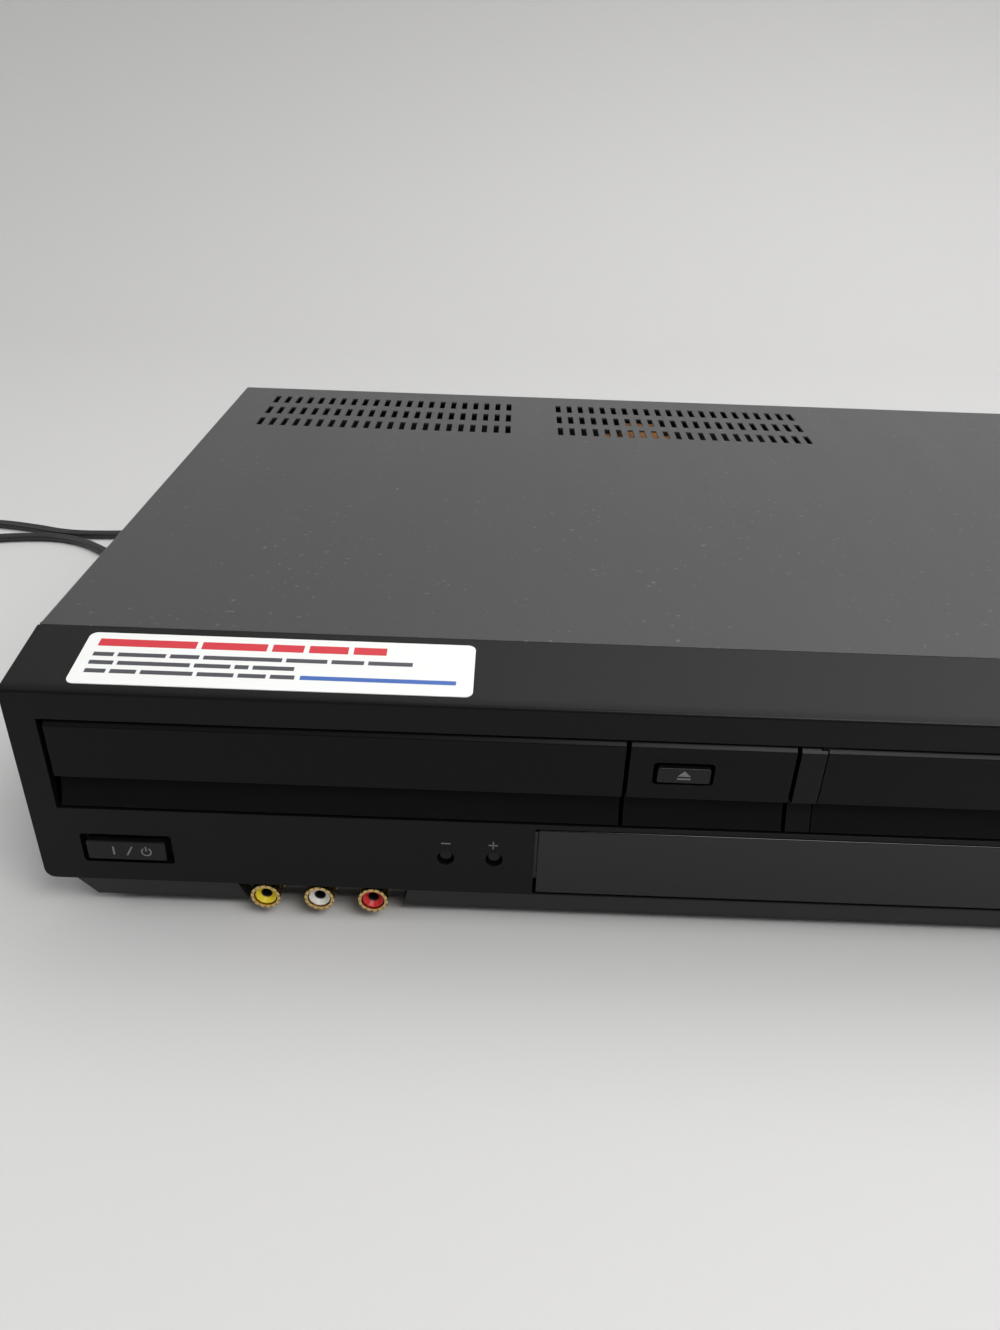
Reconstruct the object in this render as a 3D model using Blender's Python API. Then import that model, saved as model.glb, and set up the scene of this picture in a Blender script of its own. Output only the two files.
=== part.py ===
"""A DVD and VCR combination player, built as an assembly of separate pieces.

Metres, +Z up. The origin is on the table, under the middle of the player. The front faces -Y.
Sizes along X are counted from the player's left side, sizes along Y from its front face, and
heights from the table.
"""

import math

import bmesh
import bpy
from mathutils import Matrix, Vector

# Gaps and overruns that all pieces share
SEAT_GAP = 0.0003
OVERRUN = 0.002
ROD_SIDES_COUNT = 12
ROUND_SIDES_COUNT = 24
DISC_SIDES_COUNT = 40
SMOOTH_ANGLE_DEG = 35.0
ADD = "UNION"
CUT = "DIFFERENCE"

# Heights of the front, from the table up
FOOT_HEIGHT = 0.0035
BAND_HEIGHT = 0.0092
LOWER_FACE_HEIGHT = 0.0247
RECESS_HEIGHT = 0.0282
UPPER_FACE_HEIGHT = 0.0084
BROW_DROP = 0.0040

# Widths of the front, from the left
RECESS_SIDE = 0.0078
PANEL_END_GAP = 0.0013
PANEL_GAP = 0.0011
TRAY_FRONT_WIDTH = 0.14725
CENTRE_PANEL_WIDTH = 0.04185
DOOR_WIDTH = 0.2072
DOOR_GAP = 0.00025
DOOR_STRIP_WIDTH = 0.0064

# Depths of the housing, from the front face back
BODY_DEPTH = 0.261
BROW_DEPTH = 0.0264
BAND_TOP_SETBACK = 0.0010
BAND_SETBACK = 0.0035
BAND_LIP = 0.0015

# Cover, pan and rear panel
COVER_SHEET = 0.0008
COVER_LIP = 0.0065
PAN_SHEET = 0.0010
PAN_INSET = 0.0075
PAN_SLANT = 0.0040
PAN_WALL_HEIGHT = 0.0170
VENT_FIRST = 0.0181
VENT_GROUP_PITCH = 0.1273
VENT_PITCH = 0.0050
VENT_WIDTH = 0.0022
VENT_LENGTH = 0.0100
VENT_ROW_PITCH = 0.0163
VENT_REAR_MARGIN = 0.0185
VENT_COUNT = 22
VENT_ROW_COUNT = 3
VENT_GROUP_COUNT = 2
SCREW_HEAD_RADIUS = 0.0035
SCREW_HEAD_HEIGHT = 0.0018
SCREW_SHANK_RADIUS = 0.0016
SCREW_HOLE_RADIUS = 0.0020
SCREW_LENGTH = 0.0060
SIDE_SCREW_DEPTH = 0.1500
SIDE_SCREW_HEIGHT = 0.0210
FOOT_RADIUS = 0.0120
FOOT_BASE_RADIUS = 0.0108
FOOT_STEM_RADIUS = 0.0022
FOOT_STEM_HEIGHT = 0.0030
FOOT_SIDE_MARGIN = 0.0400
FOOT_FRONT_MARGIN = 0.0480
FOOT_BACK_MARGIN = 0.0310

# Front bezel
WALL = 0.0025
FACE_CORNER_RADIUS = 0.0030
CORNER_STEPS_COUNT = 3
BEZEL_POST_RADIUS = 0.0025
BEZEL_POST_HEIGHT = 0.0200
BEZEL_POST_MARGIN = 0.0500
BEZEL_END_POST_MARGIN = 0.0140

# Panels in the recess
PANEL_TOP_GAP = 0.0006
PANEL_BEVEL = 0.0014
PANEL_UPPER_HEIGHT = 0.0172
PANEL_CREASE_DEPTH = 0.0035
PANEL_CREASE_HEIGHT = 0.0008
PANEL_LOW_SETBACK = 0.0003
PANEL_DEPTH = 0.0055
PANEL_TAB_THICKNESS = 0.0015
PANEL_TAB_REACH = 0.0045
PANEL_TAB_MARGIN = 0.0080

# Cassette door
DOOR_THICKNESS = 0.0022
DOOR_SHELL = 0.0020
DOOR_AXIS_DEPTH = 0.0015
DOOR_AXIS_DROP = 0.0005
DOOR_PIN_RADIUS = 0.0007
DOOR_PIN_LENGTH = 0.0016
STRIP_TIE = 0.0015

# Display window
WINDOW_LEFT = 0.1356
WINDOW_WIDTH = 0.1644
WINDOW_TOP_MARGIN = 0.0019
WINDOW_BOTTOM_MARGIN = 0.0008
WINDOW_SIDE_GAP = 0.0009
WINDOW_GAP = 0.0004
WINDOW_THICKNESS = 0.0020
WINDOW_EAR = 0.0025
WINDOW_EAR_THICKNESS = 0.0012

# Sticker on the brow
STICKER_LEFT = 0.0153
STICKER_LENGTH = 0.1021
STICKER_FRONT = 0.0030
STICKER_WIDTH = 0.0206
STICKER_THICKNESS = 0.00015

# Buttons
KEY_WIDTH = 0.0136
KEY_HEIGHT = 0.0046
KEY_GAP = 0.0010
KEY_PROUD = 0.0008
POWER_WIDTH = 0.0213
POWER_HEIGHT = 0.0063
POWER_GAP = 0.0017
POWER_PROUD = 0.0009
POWER_CENTRE = 0.0244
POWER_DROP = 0.0134
OPEN_CLOSE_DROP = 0.0099
OPEN_CLOSE_CENTRE = 0.01405
TRACKING_RADIUS = 0.0016
TRACKING_GAP = 0.0008
TRACKING_SETBACK = 0.0012
TRACKING_CENTRE = 0.1108
TRACKING_PITCH = 0.0131
TRACKING_DROP = 0.0126
KEY_FIRST = 0.0290
KEY_PITCH = 0.0260
KEY_ROW_DROP = 0.0078
KEY_ROW_PITCH = 0.0100
KEY_FLANGE = 0.0009
KEY_FLANGE_THICKNESS = 0.0010
KEY_STEM_RADIUS = 0.0013
KEY_STEM_LENGTH = 0.0044
SWITCH_SIZE = 0.0060
SWITCH_PLUNGER_RADIUS = 0.0015
SWITCH_BODY = 0.0024
SWITCH_GAP = 0.0009

# Phono jacks
JACK_PITCH = 0.0150
JACK_FIRST = 0.0605
JACK_DROP = 0.0045
JACK_RADIUS = 0.00415
JACK_BORE_RADIUS = 0.0033
JACK_INSERT_RADIUS = 0.0030
JACK_HOLE_RADIUS = 0.0014
JACK_MOUTH_RADIUS = 0.0027
JACK_MOUTH_DEPTH = 0.0013
JACK_HOLE_DEPTH = 0.0050
JACK_INSERT_SETBACK = 0.0005
JACK_LENGTH = 0.0065
JACK_PLATE_MARGIN = 0.0020
JACK_PLATE_THICKNESS = 0.0010
JACK_PLATE_HEIGHT = 0.0080
JACK_PLATE_FOOT = 0.0080
JACK_COUNT = 3
NOTCH_LEFT = 0.0525
NOTCH_WIDTH = 0.0480
NOTCH_SLANT = 0.0025
REAR_JACK_LENGTH = 0.0094
REAR_JACK_FIRST = 0.0700
REAR_JACK_HEIGHT = 0.0300
REAR_JACK_ROW_PITCH = 0.0180
REAR_JACK_ROW_COUNT = 2
REAR_JACK_HOLE_RADIUS = 0.0046
REAR_JACK_BLOCK_MARGIN = 0.0070
REAR_JACK_BLOCK_DEPTH = 0.0120

# Boards and power supply
BOARD_THICKNESS = 0.0016
BOARD_LIFT = 0.0060
STANDOFF_RADIUS = 0.0030
STANDOFF_MARGIN = 0.0070
MAIN_BOARD_LEFT = 0.0240
BOARDS_APART = 0.0180
MAIN_BOARD_FRONT = 0.0300
MAIN_BOARD_REAR_MARGIN = 0.0260
CHIP_SIZE = 0.0220
CHIP_HEIGHT = 0.0020
CHIP_PITCH = 0.0450
CHIP_COUNT = 4
POWER_BOARD_MARGIN = 0.0015
POWER_BOARD_FRONT = 0.0600
POWER_BOARD_REAR_MARGIN = 0.0100
CAPACITOR_RADIUS = 0.0080
CAPACITOR_HEIGHT = 0.0280
CAPACITOR_PITCH = 0.0220
CAPACITOR_COUNT = 3
HEAT_SINK_THICKNESS = 0.0030
HEAT_SINK_HEIGHT = 0.0340
HEAT_SINK_LENGTH = 0.0500
TRANSFORMER_WIDTH = 0.0340
TRANSFORMER_CORE_WIDTH = 0.0180
TRANSFORMER_LENGTH = 0.0300
TRANSFORMER_HEIGHT = 0.0600
TRANSFORMER_YOKE = 0.0080
TRANSFORMER_REAR_MARGIN = 0.0160
FRONT_BOARD_DEPTH = 0.0130
FRONT_BOARD_MARGIN = 0.0145
FRONT_BOARD_LIFT = 0.0003
DISPLAY_MARGIN = 0.0140
DISPLAY_DEPTH = 0.0075

# Disc loader, from the middle of the tray's front
LOADER_SIDE_INSET = 0.003125
LOADER_FRONT = 0.0180
LOADER_REAR_MARGIN = 0.0160
LOADER_WALL = 0.0030
LOADER_DROP = 0.0074
LOADER_WALL_HEIGHT = 0.0270
LOADER_LEG = 0.0080
LOADER_LEG_INSET = 0.0010
LOADER_LEG_FRONT = 0.0285
RAIL_WIDTH = 0.0075
RAIL_THICKNESS = 0.0020
TRAY_RISE = 0.0069
TRAY_SIDE_CLEARANCE = 0.0030
TRAY_THICKNESS = 0.0070
TRAY_LENGTH = 0.1660
TAB_LENGTH = 0.0080
TAB_PITCH = 0.1000
TAB_REACH = 0.0050
TAB_THICKNESS = 0.0020
DISC_FRONT_MARGIN = 0.0112
DISC_RECESS_EDGE = 0.0035
DISC_RECESS_DEPTH = 0.0042
SMALL_DISC_RADIUS = 0.0410
SMALL_DISC_DEPTH = 0.0054
TRAY_SLOT_WIDTH = 0.0360
RACK_WALL_DISTANCE = 0.0275
RACK_BACK = 0.0024
RACK_HEIGHT = 0.0040
RACK_FRONT = 0.0255
GEAR_PITCH_RADIUS = 0.0090
GEAR_COUNT = 18
TOOTH_ADDENDUM = 0.0009
TOOTH_DEDENDUM = 0.0012
TOOTH_THICKNESS = 0.0011
TOOTH_TAPER = 0.0007
GEAR_CENTRE = 0.0320
GEAR_HEIGHT = 0.0036
GEAR_BORE_RADIUS = 0.0018
GEAR_PIN_RADIUS = 0.0015
POCKET_FLOOR_DROP = 0.0080
POCKET_THICKNESS = 0.0020
POCKET_LENGTH = 0.0330
GEAR_HUB_RADIUS = 0.0040
PINION_COUNT = 9
LOADING_MOTOR_RADIUS = 0.0100
LOADING_MOTOR_HEIGHT = 0.0130
MOTOR_SHAFT_RADIUS = 0.0008
MOTOR_HOLE_RADIUS = 0.0025
BRIDGE_LENGTH = 0.0340
BRIDGE_THICKNESS = 0.0015
BRIDGE_HOLE_RADIUS = 0.0120
PUCK_RADIUS = 0.0115
PUCK_FLANGE_RADIUS = 0.0150
PUCK_FLANGE_THICKNESS = 0.0015
PUCK_CLEARANCE = 0.0007
TRAVERSE_SIDE_GAP = 0.0245
TRAVERSE_FRONT_REACH = 0.0200
TRAVERSE_LENGTH = 0.1180
TRAVERSE_DROP = 0.0063
TRAVERSE_THICKNESS = 0.0020
TRAVERSE_WINDOW_MARGIN = 0.0050
TRAVERSE_WINDOW_START = 0.0170
TRAVERSE_WINDOW_LENGTH = 0.0620
TRAVERSE_PIN_RADIUS = 0.0015
TRAVERSE_PIN_MARGIN = 0.0060
LUG_LENGTH = 0.0100
LUG_HEIGHT = 0.0090
LUG_HOLE_RADIUS = 0.0018
SPINDLE_MOTOR_RADIUS = 0.0125
SPINDLE_MOTOR_HEIGHT = 0.0070
TURNTABLE_RADIUS = 0.0145
TURNTABLE_THICKNESS = 0.0030
HUB_RADIUS = 0.0074
HUB_TOP_RADIUS = 0.0060
HUB_HEIGHT = 0.0018
ROD_RADIUS = 0.0015
ROD_BORE_RADIUS = 0.0018
ROD_MARGIN = 0.0040
ROD_START = 0.0145
ROD_LENGTH = 0.0700
ROD_LIFT = 0.0030
ROD_BLOCK_WIDTH = 0.0060
ROD_BLOCK_LENGTH = 0.0035
RAIL_BAR_WIDTH = 0.0024
SLED_SIDE_GAP = 0.0150
SLED_LENGTH = 0.0220
SLED_HEIGHT = 0.0050
SLED_START = 0.0160
LENS_RADIUS = 0.0040
LENS_HEIGHT = 0.0014

# Cassette deck, from the middle of the cassette door
DECK_HEIGHT = 0.0160
DECK_SHEET = 0.0012
DECK_FRONT = 0.0300
DECK_REAR_MARGIN = 0.0160
DECK_POST_RADIUS = 0.0035
DECK_POST_MARGIN = 0.0090
BRACKET_SHEET = 0.0012
BRACKET_CLEARANCE = 0.0010
BRACKET_FRONT = 0.0300
BRACKET_LENGTH = 0.1200
BRACKET_TOP_DROP = 0.0060
BRACKET_LIP = 0.0032
BRACKET_LIP_HEIGHT = 0.0242
BRACKET_LIP_THICKNESS = 0.0015
BRACKET_STRAP_LENGTH = 0.0100
CARRIAGE_SHEET = 0.0015
CARRIAGE_LENGTH = 0.0600
CARRIAGE_TOP_DROP = 0.0080
CARRIAGE_BAR_LENGTH = 0.0100
CARRIAGE_BAR_THICKNESS = 0.0020
HOLDER_SIDE_CLEARANCE = 0.0078
HOLDER_SHEET = 0.0010
HOLDER_LEDGE = 0.0190
HOLDER_LEDGE_DROP = 0.0003
CASSETTE_HEIGHT = 0.0255
HOLDER_TRAVEL = 0.0140
HOLDER_PIN_RADIUS = 0.0015
HOLDER_PIN_MARGIN = 0.0105
HOLDER_PIN_DROP = 0.0140
HOLDER_SLOT_CLEARANCE = 0.0004
REEL_SPACING = 0.0920
REEL_DEPTH_SHARE = 0.353
REEL_RADIUS = 0.0190
REEL_THICKNESS = 0.0040
REEL_SPINDLE_RADIUS = 0.0055
REEL_TIP_RADIUS = 0.0030
REEL_SPINDLE_HEIGHT = 0.0130
REEL_BOSS_RADIUS = 0.0060
REEL_BOSS_HEIGHT = 0.0015
DRUM_DEPTH_SHARE = 0.7565
DRUM_RADIUS = 0.0310
DRUM_TILT_DEG = 5.97
DRUM_BASE_SIZE = 0.0500
DRUM_BASE_HEIGHT = 0.0065
DRUM_LOWER_HEIGHT = 0.0165
DRUM_UPPER_HEIGHT = 0.0180
DRUM_CAP_RADIUS = 0.0090
DRUM_CAP_HEIGHT = 0.0030
DRUM_SINK = 0.0010
CAPSTAN_X = 0.0540
CAPSTAN_DEPTH_SHARE = 0.587
CAPSTAN_RADIUS = 0.0015
CAPSTAN_HOLE_RADIUS = 0.0018
CAPSTAN_HEIGHT = 0.0240
FLYWHEEL_RADIUS = 0.0250
FLYWHEEL_HEIGHT = 0.0060
FLYWHEEL_DROP = 0.0020
PINCH_APART_X = 0.0260
PINCH_APART_DEPTH = 0.0080
PINCH_ARM_LENGTH = 0.0194
PINCH_ARM_WIDTH = 0.0080
PINCH_ARM_THICKNESS = 0.0020
PINCH_ROLLER_RADIUS = 0.0060
PINCH_ROLLER_HEIGHT = 0.0140
PINCH_LIFT = 0.0080
PINCH_POST_RADIUS = 0.0025
PINCH_BORE_RADIUS = 0.0028
PINCH_REST_DEG = 162.1
GUIDE_START_X = 0.0300
GUIDE_START_SHARE = 0.533
GUIDE_RUN_X = 0.0130
GUIDE_RUN_SHARE = 0.193
GUIDE_BASE_WIDTH = 0.0120
GUIDE_BASE_LENGTH = 0.0140
GUIDE_BASE_HEIGHT = 0.0040
GUIDE_POST_RADIUS = 0.0025
GUIDE_POST_HEIGHT = 0.0220
GUIDE_SLOT_WIDTH = 0.0050
HEAD_X = 0.0640
HEAD_DEPTH_SHARE = 0.714
HEAD_WIDTH = 0.0100
HEAD_LENGTH = 0.0140
HEAD_HEIGHT = 0.0260

# Mains cord
CORD_RADIUS = 0.00225
CORD_EXIT_LEFT = 0.0280
CORD_EXIT_HEIGHT = 0.0350
GLAND_HOLE_RADIUS = 0.0046
GLAND_NECK_RADIUS = 0.0043
GLAND_FLANGE_RADIUS = 0.0065
GLAND_FLANGE_THICKNESS = 0.0020
GLAND_NECK_LENGTH = 0.0040
GLAND_TAIL_RADIUS = 0.0046
GLAND_TIP_RADIUS = 0.0031
GLAND_TAIL_LENGTH = 0.0200
CORD_LIFT = 0.00025
CORD_SPACING = 0.0105
COIL_RADIUS = 0.0380
COIL_STEP = 0.0052
COIL_LAYER_STEP = 0.0050
COIL_TURNS_COUNT = 2
COIL_LOOP_POINTS_COUNT = 24
COIL_CENTRE_LEFT = 0.1000
COIL_CENTRE_BACK = 0.3220
COIL_TAIL = 0.0240
PLUG_LENGTH = 0.0240
PLUG_WIDTH = 0.0170
PLUG_HEIGHT = 0.0144
PLUG_RELIEF_LENGTH = 0.0110
PLUG_RELIEF_RADIUS = 0.0034
BLADE_LENGTH = 0.0160
BLADE_HEIGHT = 0.0062
BLADE_THICKNESS = 0.0015
BLADE_PITCH = 0.0127

# The cord's route as (from the left side, behind the front face, height of its middle)
CORD_ROUTE = (
    (0.0278, 0.2920, 0.0346),
    (0.0254, 0.2980, 0.0324),
    (0.0175, 0.3025, 0.0275),
    (0.0050, 0.3005, 0.0205),
    (-0.0080, 0.2900, 0.0140),
    (-0.0190, 0.2770, 0.0092),
    (-0.0290, 0.2630, 0.0052),
    (-0.0370, 0.2510, 0.0029),
    (-0.0450, 0.2385, 0.0025),
    (-0.0545, 0.2310, 0.0025),
    (-0.0645, 0.2315, 0.0025),
    (-0.0735, 0.2380, 0.0025),
    (-0.0825, 0.2445, 0.0025),
    (-0.0925, 0.2490, 0.0025),
    (-0.1040, 0.2510, 0.0025),
    (-0.1200, 0.2495, 0.0025),
    (-0.1400, 0.2450, 0.0025),
    (-0.1620, 0.2430, 0.0025),
    (-0.1760, 0.2435, 0.0025),
    (-0.1860, 0.2485, 0.0025),
    (-0.1895, 0.2565, 0.0025),
    (-0.1860, 0.2645, 0.0025),
    (-0.1760, 0.2685, 0.0025),
    (-0.1630, 0.2685, 0.0025),
    (-0.1480, 0.2666, 0.0025),
    (-0.1300, 0.2645, 0.0025),
    (-0.1140, 0.2610, 0.0025),
    (-0.1020, 0.2575, 0.0025),
    (-0.0920, 0.2560, 0.0025),
    (-0.0800, 0.2563, 0.0025),
    (-0.0650, 0.2585, 0.0025),
    (-0.0430, 0.2665, 0.0025),
    (-0.0180, 0.2770, 0.0025),
    (0.0150, 0.2840, 0.0025),
    (0.0550, 0.2840, 0.0025),
)

# Sizes that follow from those above
VCR_PANEL_WIDTH = DOOR_WIDTH + 2 * (DOOR_GAP + DOOR_STRIP_WIDTH)
BODY_WIDTH = (
    2 * (RECESS_SIDE + PANEL_END_GAP + PANEL_GAP)
    + TRAY_FRONT_WIDTH
    + CENTRE_PANEL_WIDTH
    + VCR_PANEL_WIDTH
)
FACE_BOTTOM = FOOT_HEIGHT + BAND_HEIGHT
RECESS_BOTTOM = FACE_BOTTOM + LOWER_FACE_HEIGHT
RECESS_TOP = RECESS_BOTTOM + RECESS_HEIGHT
FACE_TOP = RECESS_TOP + UPPER_FACE_HEIGHT
BODY_TOP = FACE_TOP + BROW_DROP
PANEL_TOP = RECESS_TOP - PANEL_TOP_GAP
PANEL_BOTTOM = RECESS_BOTTOM + PANEL_TOP_GAP
REAR_OUTSIDE = BODY_DEPTH - COVER_SHEET - SEAT_GAP
REAR_INSIDE = REAR_OUTSIDE - COVER_SHEET
REAR_JACK_END = REAR_INSIDE - SEAT_GAP + REAR_JACK_LENGTH
FACE_Y = -(REAR_JACK_END - POWER_PROUD) / 2
PAN_TOP = FOOT_HEIGHT + PAN_SHEET
COVER_FRONT = BROW_DEPTH + SEAT_GAP
PAN_END = REAR_INSIDE - SEAT_GAP
TRAY_FRONT_LEFT = RECESS_SIDE + PANEL_END_GAP
CENTRE_PANEL_LEFT = TRAY_FRONT_LEFT + TRAY_FRONT_WIDTH + PANEL_GAP
VCR_PANEL_LEFT = CENTRE_PANEL_LEFT + CENTRE_PANEL_WIDTH + PANEL_GAP
POWER_LEVEL = RECESS_BOTTOM - POWER_DROP
OPEN_CLOSE_LEVEL = RECESS_TOP - OPEN_CLOSE_DROP
TRACKING_LEVEL = RECESS_BOTTOM - TRACKING_DROP
DOOR_LEFT = VCR_PANEL_LEFT + DOOR_STRIP_WIDTH + DOOR_GAP
LOADER_CENTRE = TRAY_FRONT_LEFT + TRAY_FRONT_WIDTH / 2
LOADER_WIDTH = TRAY_FRONT_WIDTH - 2 * LOADER_SIDE_INSET
LOADER_INSIDE = LOADER_WIDTH / 2 - LOADER_WALL
TRAY_WIDTH = 2 * (LOADER_INSIDE - TRAY_SIDE_CLEARANCE)
DISC_RECESS_RADIUS = TRAY_WIDTH / 2 - DISC_RECESS_EDGE
RACK_OFFSET = LOADER_INSIDE - RACK_WALL_DISTANCE
TRAVERSE_WIDTH = 2 * (LOADER_INSIDE - TRAVERSE_SIDE_GAP)
SLED_WIDTH = TRAVERSE_WIDTH - 2 * SLED_SIDE_GAP
ROD_OFFSET = SLED_WIDTH / 2 - ROD_MARGIN
TRAVERSE_WINDOW_WIDTH = 2 * (ROD_OFFSET - TRAVERSE_WINDOW_MARGIN)
DECK_CENTRE = DOOR_LEFT + DOOR_WIDTH / 2
BEHIND_WALL = WALL + SEAT_GAP
DOOR_AXIS_HEIGHT = PANEL_TOP - DOOR_AXIS_DROP
BOARD_BOTTOM = PAN_TOP + BOARD_LIFT
BOARD_TOP = BOARD_BOTTOM + BOARD_THICKNESS
KEYS_BACK = BEHIND_WALL + KEY_FLANGE_THICKNESS + KEY_STEM_LENGTH
LOADER_BOTTOM = RECESS_BOTTOM - LOADER_DROP
LOADER_TOP = LOADER_BOTTOM + LOADER_WALL_HEIGHT
TRAY_BOTTOM = RECESS_BOTTOM + TRAY_RISE
TRAY_TOP = TRAY_BOTTOM + TRAY_THICKNESS
TRAY_START = PANEL_DEPTH + SEAT_GAP
DISC_CENTRE = TRAY_START + DISC_FRONT_MARGIN + DISC_RECESS_RADIUS
TRAVERSE_FRONT = DISC_CENTRE - TRAVERSE_FRONT_REACH
LOADER_LENGTH = TRAVERSE_FRONT + TRAVERSE_LENGTH + LOADER_REAR_MARGIN - LOADER_FRONT
TRAVERSE_WINDOW_FRONT = DISC_CENTRE + TRAVERSE_WINDOW_START
ROD_FRONT = DISC_CENTRE + ROD_START
SLED_FRONT = DISC_CENTRE + SLED_START
RAIL_TOP = TRAY_BOTTOM - SEAT_GAP
POCKET_FLOOR = RAIL_TOP - POCKET_FLOOR_DROP
GEAR_X = -RACK_OFFSET - GEAR_PITCH_RADIUS
GEAR_BOTTOM = TRAY_BOTTOM - RACK_HEIGHT
PINION_PITCH_RADIUS = GEAR_PITCH_RADIUS * PINION_COUNT / GEAR_COUNT
PINION_CENTRE = GEAR_CENTRE + GEAR_PITCH_RADIUS + PINION_PITCH_RADIUS
TRAVERSE_TOP = RAIL_TOP - TRAVERSE_DROP + SEAT_GAP
TRAVERSE_AXIS = TRAVERSE_FRONT + TRAVERSE_LENGTH - TRAVERSE_PIN_MARGIN
ROD_HEIGHT = TRAVERSE_TOP + ROD_LIFT
TURNTABLE_BOTTOM = TRAVERSE_TOP + 2 * SEAT_GAP + SPINDLE_MOTOR_HEIGHT
BRIDGE_BOTTOM = LOADER_TOP + SEAT_GAP
BRIDGE_TOP = BRIDGE_BOTTOM + BRIDGE_THICKNESS
DECK_TOP = DECK_HEIGHT + DECK_SHEET
BRACKET_INSIDE = DOOR_WIDTH / 2 + BRACKET_CLEARANCE
DECK_HALF = BRACKET_INSIDE + BRACKET_SHEET
CARRIAGE_OUTSIDE = BRACKET_INSIDE - SEAT_GAP
HOLDER_WIDTH = 2 * (CARRIAGE_OUTSIDE - CARRIAGE_SHEET - HOLDER_SIDE_CLEARANCE)
REEL_CENTRE = REAR_INSIDE * REEL_DEPTH_SHARE
DRUM_CENTRE = REAR_INSIDE * DRUM_DEPTH_SHARE
CAPSTAN_DEPTH = REAR_INSIDE * CAPSTAN_DEPTH_SHARE
PINCH_PIVOT_X = CAPSTAN_X + PINCH_APART_X
PINCH_PIVOT_DEPTH = CAPSTAN_DEPTH + PINCH_APART_DEPTH
GUIDE_START_DEPTH = REAR_INSIDE * GUIDE_START_SHARE
GUIDE_RUN_DEPTH = REAR_INSIDE * GUIDE_RUN_SHARE
HEAD_DEPTH = REAR_INSIDE * HEAD_DEPTH_SHARE
CARRIAGE_BOTTOM = BRACKET_LIP_HEIGHT + BRACKET_LIP_THICKNESS + SEAT_GAP
CARRIAGE_TOP = BODY_TOP - CARRIAGE_TOP_DROP
LEDGE_TOP = PANEL_BOTTOM + HOLDER_LEDGE_DROP
HOLDER_TOP = LEDGE_TOP + CASSETTE_HEIGHT + HOLDER_SHEET
HOLDER_PIN_HEIGHT = HOLDER_TOP - HOLDER_PIN_DROP
DRUM_START = DECK_TOP + SEAT_GAP + DRUM_BASE_HEIGHT - DRUM_SINK
GLAND_END = REAR_OUTSIDE + SEAT_GAP + GLAND_FLANGE_THICKNESS + GLAND_TAIL_LENGTH
CORD_FLOOR = CORD_RADIUS + CORD_LIFT


def at_x(from_left):
    """X of a distance from the player's left side."""
    return from_left - BODY_WIDTH / 2


def at_y(behind):
    """Y of a distance behind the front face."""
    return FACE_Y + behind


def spot(from_left, behind, height):
    """A place given from the left side, the front face and the table."""
    return Vector((at_x(from_left), at_y(behind), height))


def material(name, colour, roughness, metallic=0.0):
    """A plain surface of one colour."""
    made = bpy.data.materials.new(name)
    made.use_nodes = True
    surface = made.node_tree.nodes["Principled BSDF"]
    surface.inputs["Base Color"].default_value = (*colour, 1.0)
    surface.inputs["Roughness"].default_value = roughness
    surface.inputs["Metallic"].default_value = metallic
    made.diffuse_color = (*colour, 1.0)
    return made


def prism(outline, axis, start, end):
    """A solid with a flat outline, run along one axis. The outline is (y, z), (x, z) or (x, y)."""
    count = len(outline)
    places = {
        "X": lambda u, v, w: (w, u, v),
        "Y": lambda u, v, w: (u, w, v),
        "Z": lambda u, v, w: (u, v, w),
    }
    points = [places[axis](u, v, w) for w in (start, end) for u, v in outline]
    faces = [tuple(range(count)), tuple(range(count, 2 * count))]
    for i in range(count):
        j = (i + 1) % count
        faces.append((i, j, count + j, count + i))
    return points, faces


def brick(x_low, x_high, y_low, y_high, z_low, z_high):
    """A box between two corners, in world places."""
    outline = [(x_low, y_low), (x_high, y_low), (x_high, y_high), (x_low, y_high)]
    return prism(outline, "Z", z_low, z_high)


def block(left, right, front, rear, bottom, top):
    """A box given from the left side, the front face and the table."""
    return brick(at_x(left), at_x(right), at_y(front), at_y(rear), bottom, top)


def middle_block(centre, half, front, rear, bottom, top):
    """A box that reaches as far to both sides of a middle line."""
    return block(centre - half, centre + half, front, rear, bottom, top)


def turned(profile, place, axis, sides):
    """A solid of revolution. The profile is (radius, distance along the axis); it starts and ends on
    the axis, or else closes on itself as a ring."""
    towards = {"X": Vector((1, 0, 0)), "Y": Vector((0, 1, 0)), "Z": Vector((0, 0, 1))}[axis]
    turn = Vector((0, 0, 1)).rotation_difference(towards)
    points = []
    rings = []
    for radius, along in profile:
        if radius == 0:
            rings.append([len(points)] * sides)
            points.append(place + turn @ Vector((0, 0, along)))
            continue
        rings.append(list(range(len(points), len(points) + sides)))
        for k in range(sides):
            angle = math.tau * k / sides
            at = Vector((radius * math.cos(angle), radius * math.sin(angle), along))
            points.append(place + turn @ at)
    faces = []
    closes = profile[0][0] > 0
    pairs = len(profile) if closes else len(profile) - 1
    for i in range(pairs):
        low, high = rings[i], rings[(i + 1) % len(profile)]
        for k in range(sides):
            n = (k + 1) % sides
            corners = (low[k], low[n], high[n], high[k])
            face = tuple(dict.fromkeys(corners))
            if len(face) > 2:
                faces.append(face)
    return [tuple(p) for p in points], faces


def rod(place, axis, length, radius, sides=ROD_SIDES_COUNT):
    """A plain cylinder from a place along an axis."""
    return turned([(0, 0), (radius, 0), (radius, length), (0, length)], place, axis, sides)


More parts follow.
